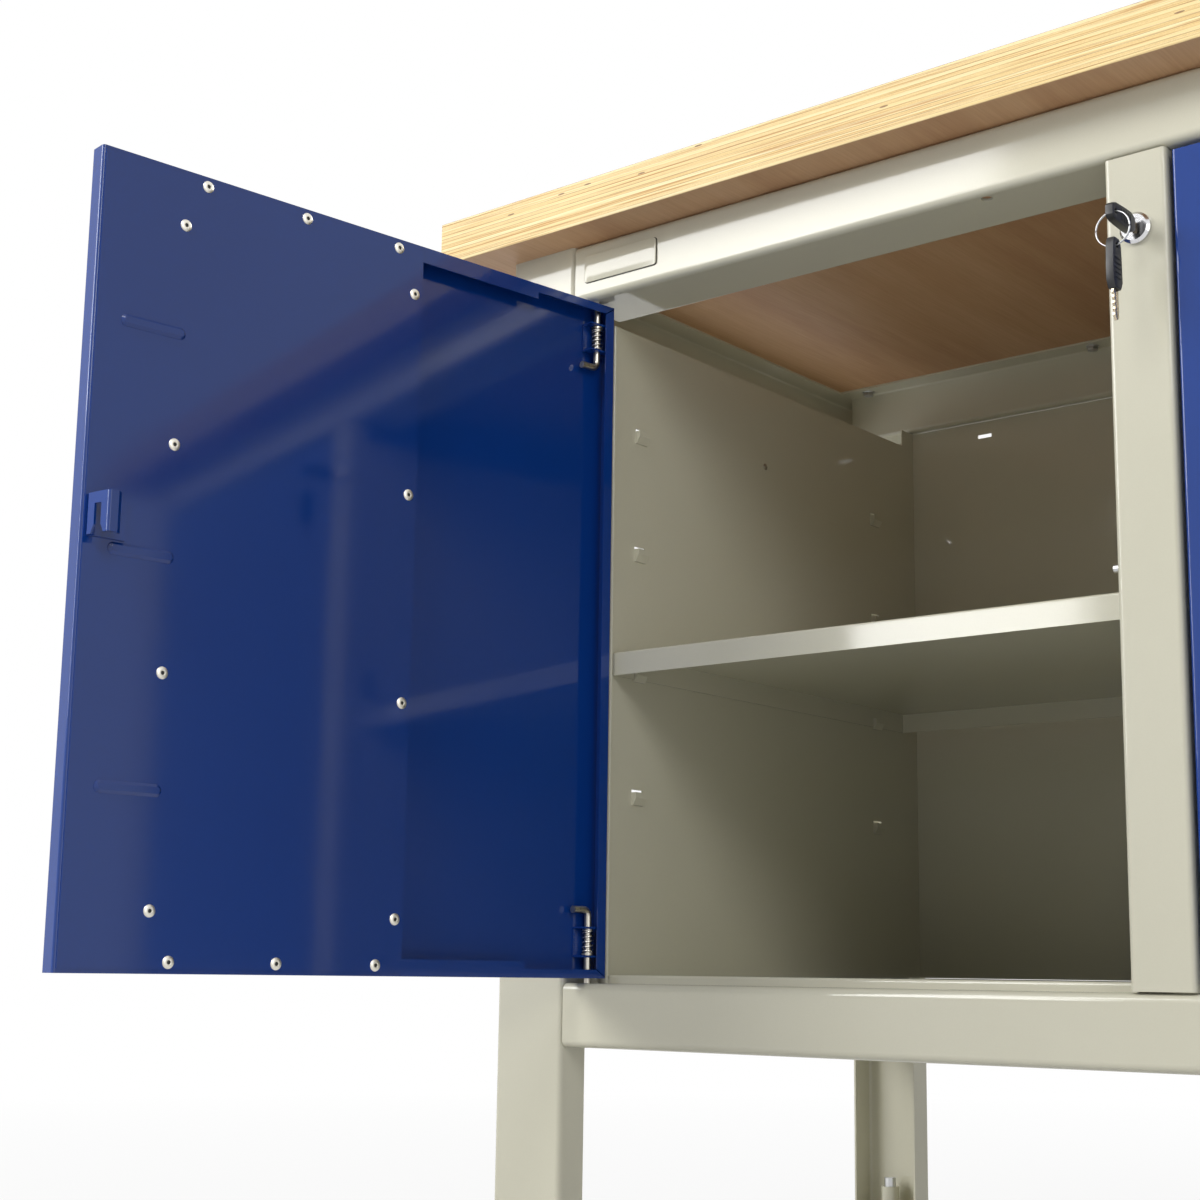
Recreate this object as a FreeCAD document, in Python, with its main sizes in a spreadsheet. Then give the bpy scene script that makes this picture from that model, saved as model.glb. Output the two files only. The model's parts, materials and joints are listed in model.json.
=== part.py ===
"""Storage workbench: plywood worktop on a folded steel frame with two cupboards.

Lengths are in millimetres. X runs along the bench, Y from front to back and Z up.
The left door stands open and the right door is shut.
"""
import FreeCAD, Part
import Sketcher
import math
import os
import re

V = FreeCAD.Vector

# Driving sizes.
SIZES = {
    # worktop
    "top_length": 1300, "top_depth": 650, "top_thick": 40, "top_edge": 1.5,
    "bench_height": 930, "side_overhang": 55, "front_overhang": 38, "rear_overhang": 18,
    # legs and feet
    "leg_face": 73, "leg_return": 30, "leg_wall": 2, "leg_bend": 5,
    "leg_lift": 18, "foot_inset": 19, "socket_radius": 9, "socket_top": 42, "socket_plate": 4,
    "stud_radius": 6, "stud_clear": 0.08, "stud_top": 51, "pad_radius": 21, "pad_height": 7,
    "nut_width": 19, "nut_height": 9,
    # rails
    "rail_height": 52, "rail_reach": 67, "rail_lip": 14, "rail_top": 36, "rail_wall": 2, "rail_bend": 6,
    "rail_gap": 0.8, "lower_rail_top": 250, "side_flange": 27, "side_bend": 4,
    "rear_web_inset": 64, "rear_flange": 25, "rear_tail": 32,
    "spare_hole_offset": 122.5, "spare_hole_radius": 4.5,
    # cupboards
    "panel_wall": 1.2, "panel_bend": 2.4, "panel_inset": 24.5, "panel_front": 28, "panel_rear_inset": 79,
    "panel_drop": 18, "panel_hem": 16, "back_deep": 23, "back_gap": 0.4, "floor_rise": 7,
    "back_slot_in": 80, "back_slot_width": 16, "back_slot_height": 4, "back_slot_drop": 14,
    "lug_width": 15, "lug_height": 11, "lug_reach": 5, "lug_root": 1.6, "lug_slit": 2.4,
    "lug_drop": 159, "lug_foot": 154.2, "lug_front": 65.5, "lug_rear_inset": 58, "sight_hole_radius": 2.5,
    "sight_hole_back": 258, "sight_hole_drop": 148.5,
    "shelf_front": 30, "shelf_rear_gap": 7, "shelf_flange": 20, "shelf_wall": 1.2, "shelf_bend": 2.4,
    "shelf_gap": 0.7, "shelf_seat": 11, "notch_clear": 1,
    # stile and lock
    "stile_width": 46, "stile_wall": 1.5, "stile_return": 20, "stile_gap": 0.8, "stile_bend": 3.5,
    "partition_front": 8, "lock_drop": 109, "bezel_radius": 11.5, "bezel_height": 4.5, "bezel_round": 2,
    "barrel_radius": 9, "barrel_clear": 0.1, "barrel_length": 18,
    "plug_radius": 6.5, "plug_clear": 0.06, "plug_length": 27, "plug_recess": 0.6,
    "keyway_width": 2.6, "keyway_height": 8.4, "keyway_depth": 21,
    "crank_throw": 14, "crank_radius": 2, "crank_length": 8, "cam_half": 4.5, "cam_wall": 2.5,
    "bar_width": 36, "bar_tail": 18, "bar_wall": 2, "bar_front": 28, "bar_rise": 14, "bar_head": 10,
    "bar_foot": 8, "bar_slot_clear": 0.6,
    "peg_radius": 3, "peg_reach": 39, "peg_sink": 0.6, "peg_drop": 235, "peg_slot_clear": 1.2,
    "peg_clear": 0.05,
    "guide_wall": 4, "guide_depth": 13, "guide_clear": 0.4, "guide_low_drop": 181, "guide_high_drop": 46,
    # keys
    "blade_width": 2, "blade_height": 7.6, "blade_length": 22, "bow_length": 37, "bow_height": 15,
    "bow_thick": 6, "bow_round": 5, "bow_gap": 3, "bow_hole_radius": 1.9, "bow_hole_inset": 5.5,
    "ring_radius": 12.5, "ring_wire": 0.9,
    # doors
    "door_depth": 16, "door_wall": 1, "door_bend": 2.2,
    "door_setback": 3, "door_side_gap": 3.5, "door_free_gap": 3.5, "door_gap": 4, "open_angle": 98.4,
    "rim_wide": 13, "rim_narrow": 7, "rim_step": 88, "rim_hinge": 10.5, "rim_free": 20,
    "mitre_gap": 0.6,
    "stiffener_share": 0.427, "stiffener_side": 2, "stiffener_end": 3, "stiffener_wall": 1,
    "bead_edge": 72, "bead_length": 51, "bead_width": 9, "bead_height": 2.4, "bead_round": 4.2,
    "bead_slope": 2.1,
    "rivet_radius": 4.6, "rivet_height": 1.4, "rivet_fold": 7.5, "rivet_edge": 68, "rivet_end": 42.5,
    "rivet_row": 8, "rivet_row_inset": 16.5,
    # keeper
    "keeper_wall": 1.6, "keeper_base": 30, "keeper_edge": 3, "keeper_height": 29, "keeper_clear": 1,
    "keeper_reach": 24, "keeper_lean": 5, "keeper_hem": 7, "keeper_lip": 4, "keeper_bend": 2.4,
    "hook_slot": 7, "hook_slot_height": 21, "hook_lead": 3, "hook_lead_height": 6, "hook_slot_at": 12.4,
    # hinge pins
    "pin_radius": 3, "pin_clear": 0.08, "pin_inset": 14, "pin_depth": 8, "pin_reach": 12,
    "arm_drop": 56, "arm_length": 17, "arm_bend": 5.5,
    "bracket_width": 21, "bracket_start": 4.5, "bracket_reach": 12.5, "bracket_wall": 1.5, "bracket_bend": 2.2,
    "bracket_end": 17, "bracket_height": 25, "collar_radius": 5, "collar_height": 1.6, "collar_gap": 0.4,
    "spring_wire": 0.55, "spring_radius": 4.2, "spring_seat": 0.05,
    # worktop screws
    "screw_head": 11, "screw_head_height": 5, "screw_near": 55, "screw_far": 319, "screw_flange_inset": 12,
    # cuts run past the material by this much
    "overrun": 5,
}
SPRING_TURNS = 5
STEPS_PER_TURN = 2
WIRE_SIDES = 6
RIVET_SIDES = 8
LUG_ROWS = 4
SHELF_ROW = 2
RIVET_ROWS = 4
RIVET_COLUMNS = 3
BEADS = 3

# Places worked out from the sizes.
PLACES = {
    "under": "bench_height - top_thick",
    "bench_left": "side_overhang - top_length / 2",
    "bay_left": "bench_left + leg_face",
    "frame_depth": "top_depth - front_overhang - rear_overhang",
    "panel_rear": "frame_depth - panel_rear_inset",
    "back_face": "panel_rear + back_deep",
    "rear_web": "frame_depth - rear_web_inset",
    "lug_rear": "panel_rear - lug_rear_inset",
    "shelf_depth": "panel_rear - shelf_rear_gap - shelf_front",
    "door_angle": "open_angle * 1deg",
    "foremost": "door_setback + pin_depth - sin(door_angle) * (door_width - door_bend - pin_inset)"
                " + cos(door_angle) * (door_depth - door_bend - pin_depth) - door_bend",
    "face": "-(top_depth - front_overhang + foremost) / 2",
    "mid_depth": "face + frame_depth / 2",
    "rail_low": "under - rail_height",
    "rail_length": "top_length - 2 * side_overhang - 2 * leg_face - 2 * rail_gap",
    "rail_left": "bay_left + rail_gap",
    "lower_rail_low": "lower_rail_top - rail_height",
    "panel_face": "bay_left + panel_inset",
    "partition_face": "stile_wall - stile_width / 2",
    "bay_width": "partition_face - panel_face",
    "panel_low": "lower_rail_top",
    "panel_tall": "rail_low - panel_drop - panel_low",
    "floor_top": "lower_rail_top + floor_rise",
    "lug_top": "under - lug_drop",
    "lug_pitch": "(lug_top - floor_top - lug_foot) / %d" % (LUG_ROWS - 1),
    "shelf_lug": "lug_top - %d * lug_pitch" % SHELF_ROW,
    "shelf_low": "shelf_lug + shelf_seat - shelf_flange",
    "stile_low": "lower_rail_top + stile_gap",
    "stile_tall": "rail_low - lower_rail_top - 2 * stile_gap",
    "lock_height": "under - lock_drop",
    "cam_front": "plug_length + plug_recess - bezel_height",
    "crank_x": "crank_throw * cos(45deg)",
    "crank_z": "-crank_throw * sin(45deg)",
    "peg_rest": "lock_height - peg_drop",
    "bar_travel": "-2 * crank_z",
    "peg_back": "bar_front + bar_wall + peg_radius - peg_sink",
    "key_start": "face - bezel_height - bow_gap - bow_length",
    "door_low": "lower_rail_top + door_gap",
    "door_height": "rail_low - lower_rail_top - 2 * door_gap",
    "door_width": "-stile_width / 2 - door_free_gap - door_left",
    "stiffener_start": "door_width * stiffener_share",
    "rivet_inner": "stiffener_start + rivet_fold",
    "rivet_outer": "door_width - rivet_edge",
    "rivet_pitch": "(door_height - 2 * rivet_end) / %d" % (RIVET_ROWS - 1),
    "rivet_row_pitch": "(rivet_outer - rivet_inner - 2 * rivet_row_inset) / %d" % (RIVET_COLUMNS - 1),
    "bead_start": "door_width - bead_edge",
    "keeper_low": "peg_rest + peg_radius + keeper_clear - door_low",
    "door_mid": "door_low + door_height / 2",
    "door_left": "bay_left + door_side_gap",
    "pin_x": "door_left + pin_inset",
    "pin_y": "face + door_setback + pin_depth",
    "door_x": "pin_x - pin_inset * cos(door_angle) - pin_depth * sin(door_angle)",
    "door_y": "pin_y + pin_inset * sin(door_angle) - pin_depth * cos(door_angle)",
    "bracket_low": "door_height - bracket_end - bracket_height",
    "collar_low": "door_height - bracket_end - bracket_wall - collar_gap - collar_height",
    "foot_x": "bench_left + leg_face / 2",
    "foot_y": "face + foot_inset",
}

doc = FreeCAD.newDocument("storage_workbench")
sheet = doc.addObject("Spreadsheet::Sheet", "sheet")
for row, (name, size) in enumerate(SIZES.items(), start=1):
    sheet.set("A%d" % row, name)
    sheet.set("B%d" % row, str(size))
    sheet.setAlias("B%d" % row, name)
doc.recompute()

nodes = []


def expr(text):
    """Write named sizes and places as an expression on the sheet."""
    def swap(match):
        word = match.group(0)
        if word in PLACES:
            return "(" + expr(PLACES[word]) + ")"
        if word in SIZES:
            return "sheet." + word
        return word
    return re.sub(r"[a-z][a-z_]*", swap, text)


def value(text):
    return float(sheet.evalExpression(expr(text)))


def node(item, label):
    """Make a finished shape one named piece of the bench."""
    item.Label = label
    nodes.append(item)
    return item


def place(item, x, y, z):
    item.setExpression(".Placement.Base.x", expr(x))
    item.setExpression(".Placement.Base.y", expr(y))
    item.setExpression(".Placement.Base.z", expr(z))
    return item


def turn(item, axis, angle):
    item.Placement = FreeCAD.Placement(item.Placement.Base, FreeCAD.Rotation(axis, value(angle)))
    item.setExpression(".Placement.Rotation.Angle", expr(angle) + " * 1deg")
    return item


def mirrored(source, label, normal, x="0", y="0", z="0"):
    item = doc.addObject("Part::Mirroring", label)
    item.Source = source
    item.Normal = normal
    for axis, where in zip("xyz", (x, y, z)):
        item.setExpression(".Base." + axis, expr(where))
    doc.recompute()
    return item


def right_of(source, label):
    return node(mirrored(source, label, V(1, 0, 0)), label)


def body(name):
    return doc.addObject("PartDesign::Body", name)


def sketch(owner, plane, offset="0"):
    item = owner.newObject("Sketcher::SketchObject", owner.Name + "_sketch")
    support = next(each for each in owner.Origin.OriginFeatures if each.Role == plane)
    item.AttachmentSupport = [(support, "")]
    item.MapMode = "FlatFace"
    item.setExpression(".AttachmentOffset.Base.z", expr(offset))
    return item


def fix_point(item, geometry, spot, x, y):
    for kind, where in (("DistanceX", x), ("DistanceY", y)):
        index = item.addConstraint(Sketcher.Constraint(kind, -1, 1, geometry, spot, value(where)))
        item.setExpression("Constraints[%d]" % index, expr(where))


def polygon(item, points):
    """Draw a closed outline with every corner held by the sheet."""
    corners = [V(value(x), value(y), 0) for x, y in points]
    first = item.GeometryCount
    count = len(points)
    item.addGeometry([Part.LineSegment(a, b) for a, b in zip(corners, corners[1:] + corners[:1])])
    item.addConstraint([
        Sketcher.Constraint("Coincident", first + n, 2, first + (n + 1) % count, 1) for n in range(count)])
    for n, (x, y) in enumerate(points):
        fix_point(item, first + n, 1, x, y)
    return item


def rectangle(item, left, low, right, high):
    return polygon(item, [(left, low), (right, low), (right, high), (left, high)])


def hexagon(item, across_flats):
    corner = across_flats + " / sqrt(3)"
    return polygon(item, [("%s * cos(%ddeg)" % (corner, angle), "%s * sin(%ddeg)" % (corner, angle))
                          for angle in range(0, 360, 60)])


def circle(item, x, y, radius):
    index = item.addGeometry(Part.Circle(V(value(x), value(y), 0), V(0, 0, 1), value(radius)))
    fix_point(item, index, 3, x, y)
    bound = item.addConstraint(Sketcher.Constraint("Radius", index, value(radius)))
    item.setExpression("Constraints[%d]" % bound, expr(radius))
    return item


def feature(owner, kind, profile, length, back):
    item = owner.newObject("PartDesign::" + kind, owner.Name + "_" + kind.lower())
    item.Profile = profile
    item.setExpression("Length", expr(length))
    item.Reversed = back
    doc.recompute()
    return item


def pad(owner, profile, length, back=False):
    return feature(owner, "Pad", profile, length, back)


def pocket(owner, profile, length, back=False):
    return feature(owner, "Pocket", profile, length, back)


def revolve(owner, profile, axis):
    item = owner.newObject("PartDesign::Revolution", owner.Name + "_turned")
    item.Profile = profile
    item.ReferenceAxis = (profile, [axis])
    item.Angle = 360
    doc.recompute()
    return item


def edges_along(shape, axis, spots):
    """Name the straight edges along one axis that pass through the given spots."""
    across = [n for n in range(3) if n != axis]
    wanted = [[value(text) for text in spot] for spot in spots]
    names = []
    for count, edge in enumerate(shape.Edges, start=1):
        if not isinstance(edge.Curve, Part.Line) or abs(abs(edge.Curve.Direction[axis]) - 1) > 1e-6:
            continue
        here = [edge.Vertexes[0].Point[n] for n in across]
        if any(math.dist(here, spot) < 1e-4 for spot in wanted):
            names.append("Edge%d" % count)
    return names


def bend(owner, radius, axis, spots):
    base = owner.Tip
    names = edges_along(base.Shape, axis, spots)
    item = owner.newObject("PartDesign::Fillet", owner.Name + "_bend")
    item.Base = (base, names)
    item.setExpression("Radius", expr(radius))
    doc.recompute()
    return item


def cylinder(name, radius, height, x="0", y="0", z="0", axis=None, angle="0"):
    item = doc.addObject("Part::Cylinder", name)
    item.setExpression("Radius", expr(radius))
    item.setExpression("Height", expr(height))
    if axis:
        turn(item, axis, angle)
    return place(item, x, y, z)


def box(name, length, width, height, x="0", y="0", z="0"):
    item = doc.addObject("Part::Box", name)
    item.setExpression("Length", expr(length))
    item.setExpression("Width", expr(width))
    item.setExpression("Height", expr(height))
    return place(item, x, y, z)


def joined(kind, name, shapes):
    item = doc.addObject("Part::" + kind, name)
    setattr(item, "Links" if kind == "Compound" else "Shapes", shapes)
    doc.recompute()
    return item


def cut(name, base, tool):
    item = doc.addObject("Part::Cut", name)
    item.Base = base
    item.Tool = tool
    doc.recompute()
    return item


X_AXIS, Y_AXIS, Z_AXIS = range(3)

# Worktop.
top = body("worktop")
pad(top, rectangle(sketch(top, "XY_Plane"), "0", "0", "top_length", "top_depth"), "top_thick")
bend(top, "top_edge", X_AXIS, [(y, z) for y in ("0", "top_depth") for z in ("0", "top_thick")])
place(node(top, "worktop"), "-top_length / 2", "face - front_overhang", "under")

# Legs: sheet channels with the open side to the middle of the bench.
leg = body("front_left_leg")
pad(leg, polygon(sketch(leg, "XY_Plane"), [
    ("0", "0"), ("leg_face", "0"), ("leg_face", "leg_return"), ("leg_face - leg_wall", "leg_return"),
    ("leg_face - leg_wall", "leg_wall"), ("leg_wall", "leg_wall"), ("leg_wall", "leg_return"),
    ("0", "leg_return")]), "under - leg_lift")
bend(leg, "leg_bend", Z_AXIS, [("0", "0"), ("leg_face", "0")])
bend(leg, "leg_bend - leg_wall", Z_AXIS, [("leg_wall", "leg_wall"), ("leg_face - leg_wall", "leg_wall")])
place(node(leg, "front_left_leg"), "bench_left", "face", "leg_lift")

# Foot sockets: a plate in the end of the leg with a threaded tube standing on it.
socket = body("foot_socket")
pad(socket, rectangle(sketch(socket, "XY_Plane"), "leg_wall - leg_face / 2", "leg_bend - foot_inset",
                      "leg_face / 2 - leg_wall", "leg_return - foot_inset"), "socket_plate")
pad(socket, circle(sketch(socket, "XY_Plane"), "0", "0", "socket_radius"), "socket_top - leg_lift")
pocket(socket, circle(sketch(socket, "XY_Plane"), "0", "0", "stud_radius + stud_clear"),
       "socket_top - leg_lift + overrun", back=True)
place(socket, "foot_x", "foot_y", "leg_lift")

# Levelling feet: a stud with a broad pad and a hexagon to turn it by.
foot = body("front_left_foot")
pad(foot, circle(sketch(foot, "XY_Plane"), "0", "0", "pad_radius"), "pad_height")
pad(foot, hexagon(sketch(foot, "XY_Plane", "pad_height"), "nut_width"), "nut_height")
pad(foot, circle(sketch(foot, "XY_Plane"), "0", "0", "stud_radius"), "stud_top")
place(node(foot, "front_left_foot"), "foot_x", "foot_y", "0")

# The other three corners.
sockets = [socket]
for source, kind in ((leg, "leg"), (foot, "foot"), (socket, "socket")):
    rear = mirrored(source, "rear_left_" + kind, V(0, 1, 0), y="mid_depth")
    front_right = mirrored(source, "front_right_" + kind, V(1, 0, 0))
    rear_right = mirrored(rear, "rear_right_" + kind, V(1, 0, 0))
    if kind == "socket":
        sockets += [rear, front_right, rear_right]
    else:
        for item in (rear, front_right, rear_right):
            node(item, item.Name)
node(joined("Compound", "foot_sockets", sockets), "foot_sockets")

# Front upper rail: web to the front, deep flange below with a lip, hinge holes in the flange.
HINGE_HOLE = "door_side_gap + pin_inset - rail_gap"
upper = body("front_upper_rail")
pad(upper, polygon(sketch(upper, "YZ_Plane"), [
    ("0", "0"), ("rail_reach", "0"), ("rail_reach", "rail_lip"), ("rail_reach - rail_wall", "rail_lip"),
    ("rail_reach - rail_wall", "rail_wall"), ("rail_wall", "rail_wall"),
    ("rail_wall", "rail_height - rail_wall"), ("rail_top", "rail_height - rail_wall"),
    ("rail_top", "rail_height"), ("0", "rail_height")]), "rail_length")
bend(upper, "rail_bend", X_AXIS, [("0", "0"), ("rail_reach", "0"), ("0", "rail_height")])
bend(upper, "rail_bend - rail_wall", X_AXIS, [
    ("rail_wall", "rail_wall"), ("rail_reach - rail_wall", "rail_wall"),
    ("rail_wall", "rail_height - rail_wall")])
holes = sketch(upper, "XY_Plane")
for across in (HINGE_HOLE, "rail_length - (" + HINGE_HOLE + ")"):
    circle(holes, across, "door_setback + pin_depth", "pin_radius + pin_clear")
for across in ("rail_length / 2 - spare_hole_offset", "rail_length / 2 + spare_hole_offset"):
    circle(holes, across, "door_setback + pin_depth", "spare_hole_radius")
pocket(upper, holes, "rail_wall + overrun", back=True)
place(node(upper, "front_upper_rail"), "rail_left", "face", "rail_low")

# Lower rails: the same section the other way up.
lower = body("lower_rail_blank")
pad(lower, polygon(sketch(lower, "YZ_Plane"), [
    ("0", "0"), ("rail_top", "0"), ("rail_top", "rail_wall"), ("rail_wall", "rail_wall"),
    ("rail_wall", "rail_height - rail_wall"), ("rail_reach - rail_wall", "rail_height - rail_wall"),
    ("rail_reach - rail_wall", "rail_height - rail_lip"), ("rail_reach", "rail_height - rail_lip"),
    ("rail_reach", "rail_height"), ("0", "rail_height")]), "rail_length")
bend(lower, "rail_bend", X_AXIS, [("0", "0"), ("rail_reach", "rail_height"), ("0", "rail_height")])
bend(lower, "rail_bend - rail_wall", X_AXIS, [
    ("rail_wall", "rail_wall"), ("rail_reach - rail_wall", "rail_height - rail_wall"),
    ("rail_wall", "rail_height - rail_wall")])
place(lower, "rail_left", "face", "lower_rail_low")
node(mirrored(lower, "rear_lower_rail", V(0, 1, 0), y="mid_depth"), "rear_lower_rail")
drills = [cylinder(side + "_hinge_drill", "pin_radius + pin_clear", "rail_height + overrun", across, "pin_y",
                   "lower_rail_low + rail_wall") for side, across in (("left", "pin_x"), ("right", "-pin_x"))]
node(cut("front_lower_rail", lower, joined("Compound", "hinge_drills", drills)), "front_lower_rail")

# Rear upper rail: a step section, one flange forward under the worktop and one back at the bottom.
rear = body("rear_upper_rail")
pad(rear, polygon(sketch(rear, "YZ_Plane"), [
    ("0", "rail_height - rail_wall"), ("rear_flange - rail_wall", "rail_height - rail_wall"),
    ("rear_flange - rail_wall", "0"), ("rear_flange + rear_tail", "0"),
    ("rear_flange + rear_tail", "rail_wall"), ("rear_flange", "rail_wall"), ("rear_flange", "rail_height"),
    ("0", "rail_height")]), "-2 * (bench_left + side_flange)")
bend(rear, "side_bend", X_AXIS, [("rear_flange - rail_wall", "0"), ("rear_flange", "rail_height")])
bend(rear, "side_bend - rail_wall", X_AXIS, [
    ("rear_flange", "rail_wall"), ("rear_flange - rail_wall", "rail_height - rail_wall")])
place(node(rear, "rear_upper_rail"), "bench_left + side_flange", "face + rear_web - rear_flange", "rail_low")

# Side rails: plain channels from leg to leg, one under the worktop and one below the cupboard.
for label, low in (("left_top_rail", "rail_low"), ("left_bottom_rail", "lower_rail_low")):
    side = body(label)
    pad(side, polygon(sketch(side, "XZ_Plane"), [
        ("0", "0"), ("side_flange", "0"), ("side_flange", "rail_wall"), ("rail_wall", "rail_wall"),
        ("rail_wall", "rail_height - rail_wall"), ("side_flange", "rail_height - rail_wall"),
        ("side_flange", "rail_height"), ("0", "rail_height")]), "frame_depth - 2 * leg_return", back=True)
    bend(side, "side_bend", Y_AXIS, [("0", "0"), ("0", "rail_height")])
    bend(side, "side_bend - rail_wall", Y_AXIS, [
        ("rail_wall", "rail_wall"), ("rail_wall", "rail_height - rail_wall")])
    place(node(side, label), "bench_left", "face + leg_return", low)
    right_of(side, label.replace("left", "right"))

# Heads of the screws that go up through the rear rail into the worktop.
screws = []
for across in ("bench_left + screw_near", "bench_left + screw_far", "-bench_left - screw_far",
               "-bench_left - screw_near"):
    screw = body("screw")
    pad(screw, hexagon(sketch(screw, "XY_Plane"), "screw_head"), "screw_head_height")
    screws.append(place(screw, across, "face + rear_web - rear_flange + screw_flange_inset",
                        "under - rail_wall - screw_head_height"))
node(joined("Compound", "worktop_screws", screws), "worktop_screws")


def lugs(owner, face, away):
    """Press the shelf lugs out of an upright sheet, each sheared along its top and sloping back below."""
    slits = sketch(owner, "YZ_Plane", face + " + overrun")
    for row in range(LUG_ROWS):
        high = "lug_top - panel_low - %d * lug_pitch" % row
        for spot in ("lug_front", "lug_rear"):
            rectangle(slits, spot + " - panel_front - lug_width / 2", high,
                      spot + " - panel_front + lug_width / 2", high + " + lug_slit")
    pocket(owner, slits, "2 * overrun")
    for row in range(LUG_ROWS):
        high = "lug_top - panel_low - %d * lug_pitch" % row
        wedge = sketch(owner, "XZ_Plane", "-(lug_front - panel_front - lug_width / 2)")
        out = face + " + %d * lug_reach" % away
        root = face + " + %d * lug_root" % away
        polygon(wedge, [(face, high), (face, high + " - lug_height"), (root, high + " - lug_height"),
                        (out, high + " - lug_reach"), (out, high)])
        first = pad(owner, wedge, "lug_width", back=True)
        row_of = owner.newObject("PartDesign::LinearPattern", owner.Name + "_lugs")
        row_of.Originals = [first]
        row_of.Direction = (wedge, ["N_Axis"])
        row_of.Reversed = True
        row_of.Occurrences = 2
        row_of.setExpression("Length", expr("lug_rear - lug_front"))
        owner.Tip = row_of
        doc.recompute()


# Left side panel: sheet folded out to the leg at the front and hemmed at the back.
side = body("left_side_panel")
pad(side, polygon(sketch(side, "XY_Plane"), [
    ("0", "0"), ("panel_inset", "0"), ("panel_inset", "panel_rear - panel_front"),
    ("panel_inset - panel_hem", "panel_rear - panel_front"),
    ("panel_inset - panel_hem", "panel_rear - panel_front - panel_wall"),
    ("panel_inset - panel_wall", "panel_rear - panel_front - panel_wall"),
    ("panel_inset - panel_wall", "panel_wall"), ("0", "panel_wall")]), "panel_tall")
bend(side, "panel_bend", Z_AXIS, [("panel_inset", "0")])
bend(side, "panel_bend - panel_wall", Z_AXIS, [("panel_inset - panel_wall", "panel_wall")])
pocket(side, circle(sketch(side, "YZ_Plane", "panel_inset + overrun"), "sight_hole_back - panel_front",
                    "under - sight_hole_drop - panel_low", "sight_hole_radius"), "panel_wall + 2 * overrun")
lugs(side, "panel_inset", 1)
place(node(side, "left_side_panel"), "bay_left", "face + panel_front", "panel_low")
right_of(side, "right_side_panel")

# Partition behind the stile, slotted for the lock bar's peg.
wall = body("left_partition")
pad(wall, rectangle(sketch(wall, "XY_Plane"), "0", "partition_front - panel_front", "panel_wall",
                    "panel_rear - panel_front"), "panel_tall")
pocket(wall, rectangle(
    sketch(wall, "YZ_Plane", "panel_wall + overrun"),
    "peg_back - panel_front - peg_radius - peg_slot_clear", "peg_rest - panel_low - peg_radius - peg_slot_clear",
    "peg_back - panel_front + peg_radius + peg_slot_clear",
    "peg_rest + bar_travel - panel_low + peg_radius + peg_slot_clear"), "panel_wall + 2 * overrun")
lugs(wall, "0", -1)
place(node(wall, "left_partition"), "partition_face", "face + panel_front", "panel_low")
right_of(wall, "right_partition")

# Back panel: a tray with its sides turned forward to meet the side panel and the partition.
BACK_WIDTH = "bay_width + 2 * panel_wall"
BACK_DEEP = "back_face - panel_rear"
BACK_HEIGHT = "rail_low - floor_top - 2 * back_gap"
back = body("left_back_panel")
pad(back, polygon(sketch(back, "XY_Plane"), [
    ("0", "0"), ("panel_wall", "0"), ("panel_wall", BACK_DEEP), (BACK_WIDTH + " - panel_wall", BACK_DEEP),
    (BACK_WIDTH + " - panel_wall", "0"), (BACK_WIDTH, "0"), (BACK_WIDTH, BACK_DEEP + " + panel_wall"),
    ("0", BACK_DEEP + " + panel_wall")]), BACK_HEIGHT)
pocket(back, rectangle(sketch(back, "XZ_Plane", "overrun"), "back_slot_in", BACK_HEIGHT + " - back_slot_drop",
                       "back_slot_in + back_slot_width",
                       BACK_HEIGHT + " - back_slot_drop - back_slot_height"), BACK_DEEP + " + panel_wall + 2 * overrun")
place(node(back, "left_back_panel"), "panel_face - panel_wall", "face + panel_rear", "floor_top + back_gap")
right_of(back, "right_back_panel")

# Floor: a shallow tray upside down on the lower rails.
FLOOR_DEEP = "back_face - panel_front - panel_wall"
floor = body("left_floor")
pad(floor, polygon(sketch(floor, "YZ_Plane"), [
    ("0", "0"), ("panel_wall", "0"), ("panel_wall", "floor_rise - panel_wall"),
    (FLOOR_DEEP + " - panel_wall", "floor_rise - panel_wall"), (FLOOR_DEEP + " - panel_wall", "0"),
    (FLOOR_DEEP, "0"), (FLOOR_DEEP, "floor_rise"), ("0", "floor_rise")]), "bay_width")
bend(floor, "panel_bend", X_AXIS, [("0", "floor_rise"), (FLOOR_DEEP, "floor_rise")])
bend(floor, "panel_bend - panel_wall", X_AXIS, [
    ("panel_wall", "floor_rise - panel_wall"), (FLOOR_DEEP + " - panel_wall", "floor_rise - panel_wall")])
place(node(floor, "left_floor"), "panel_face", "face + panel_front + panel_wall", "lower_rail_top")
right_of(floor, "right_floor")

# Shelf: a tray upside down, notched at the sides to sit over four lugs.
SHELF_WIDE = "bay_width - 2 * shelf_gap"
NOTCH = "shelf_flange - shelf_seat"
shelf = body("left_shelf")
pad(shelf, rectangle(sketch(shelf, "XY_Plane"), "0", "0", SHELF_WIDE, "shelf_depth"), "shelf_flange")
pocket(shelf, rectangle(sketch(shelf, "XY_Plane"), "shelf_wall", "shelf_wall", SHELF_WIDE + " - shelf_wall",
                        "shelf_depth - shelf_wall"), "shelf_flange - shelf_wall", back=True)
notches = sketch(shelf, "YZ_Plane", "-overrun")
for spot in ("lug_front", "lug_rear"):
    rectangle(notches, spot + " - shelf_front - lug_width / 2 - notch_clear", "-overrun",
              spot + " - shelf_front + lug_width / 2 + notch_clear", NOTCH)
pocket(shelf, notches, SHELF_WIDE + " + 2 * overrun", back=True)
bend(shelf, "shelf_bend", X_AXIS, [("0", "shelf_flange"), ("shelf_depth", "shelf_flange")])
place(node(shelf, "left_shelf"), "panel_face + shelf_gap", "face + shelf_front", "shelf_low")
right_of(shelf, "right_shelf")

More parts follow.
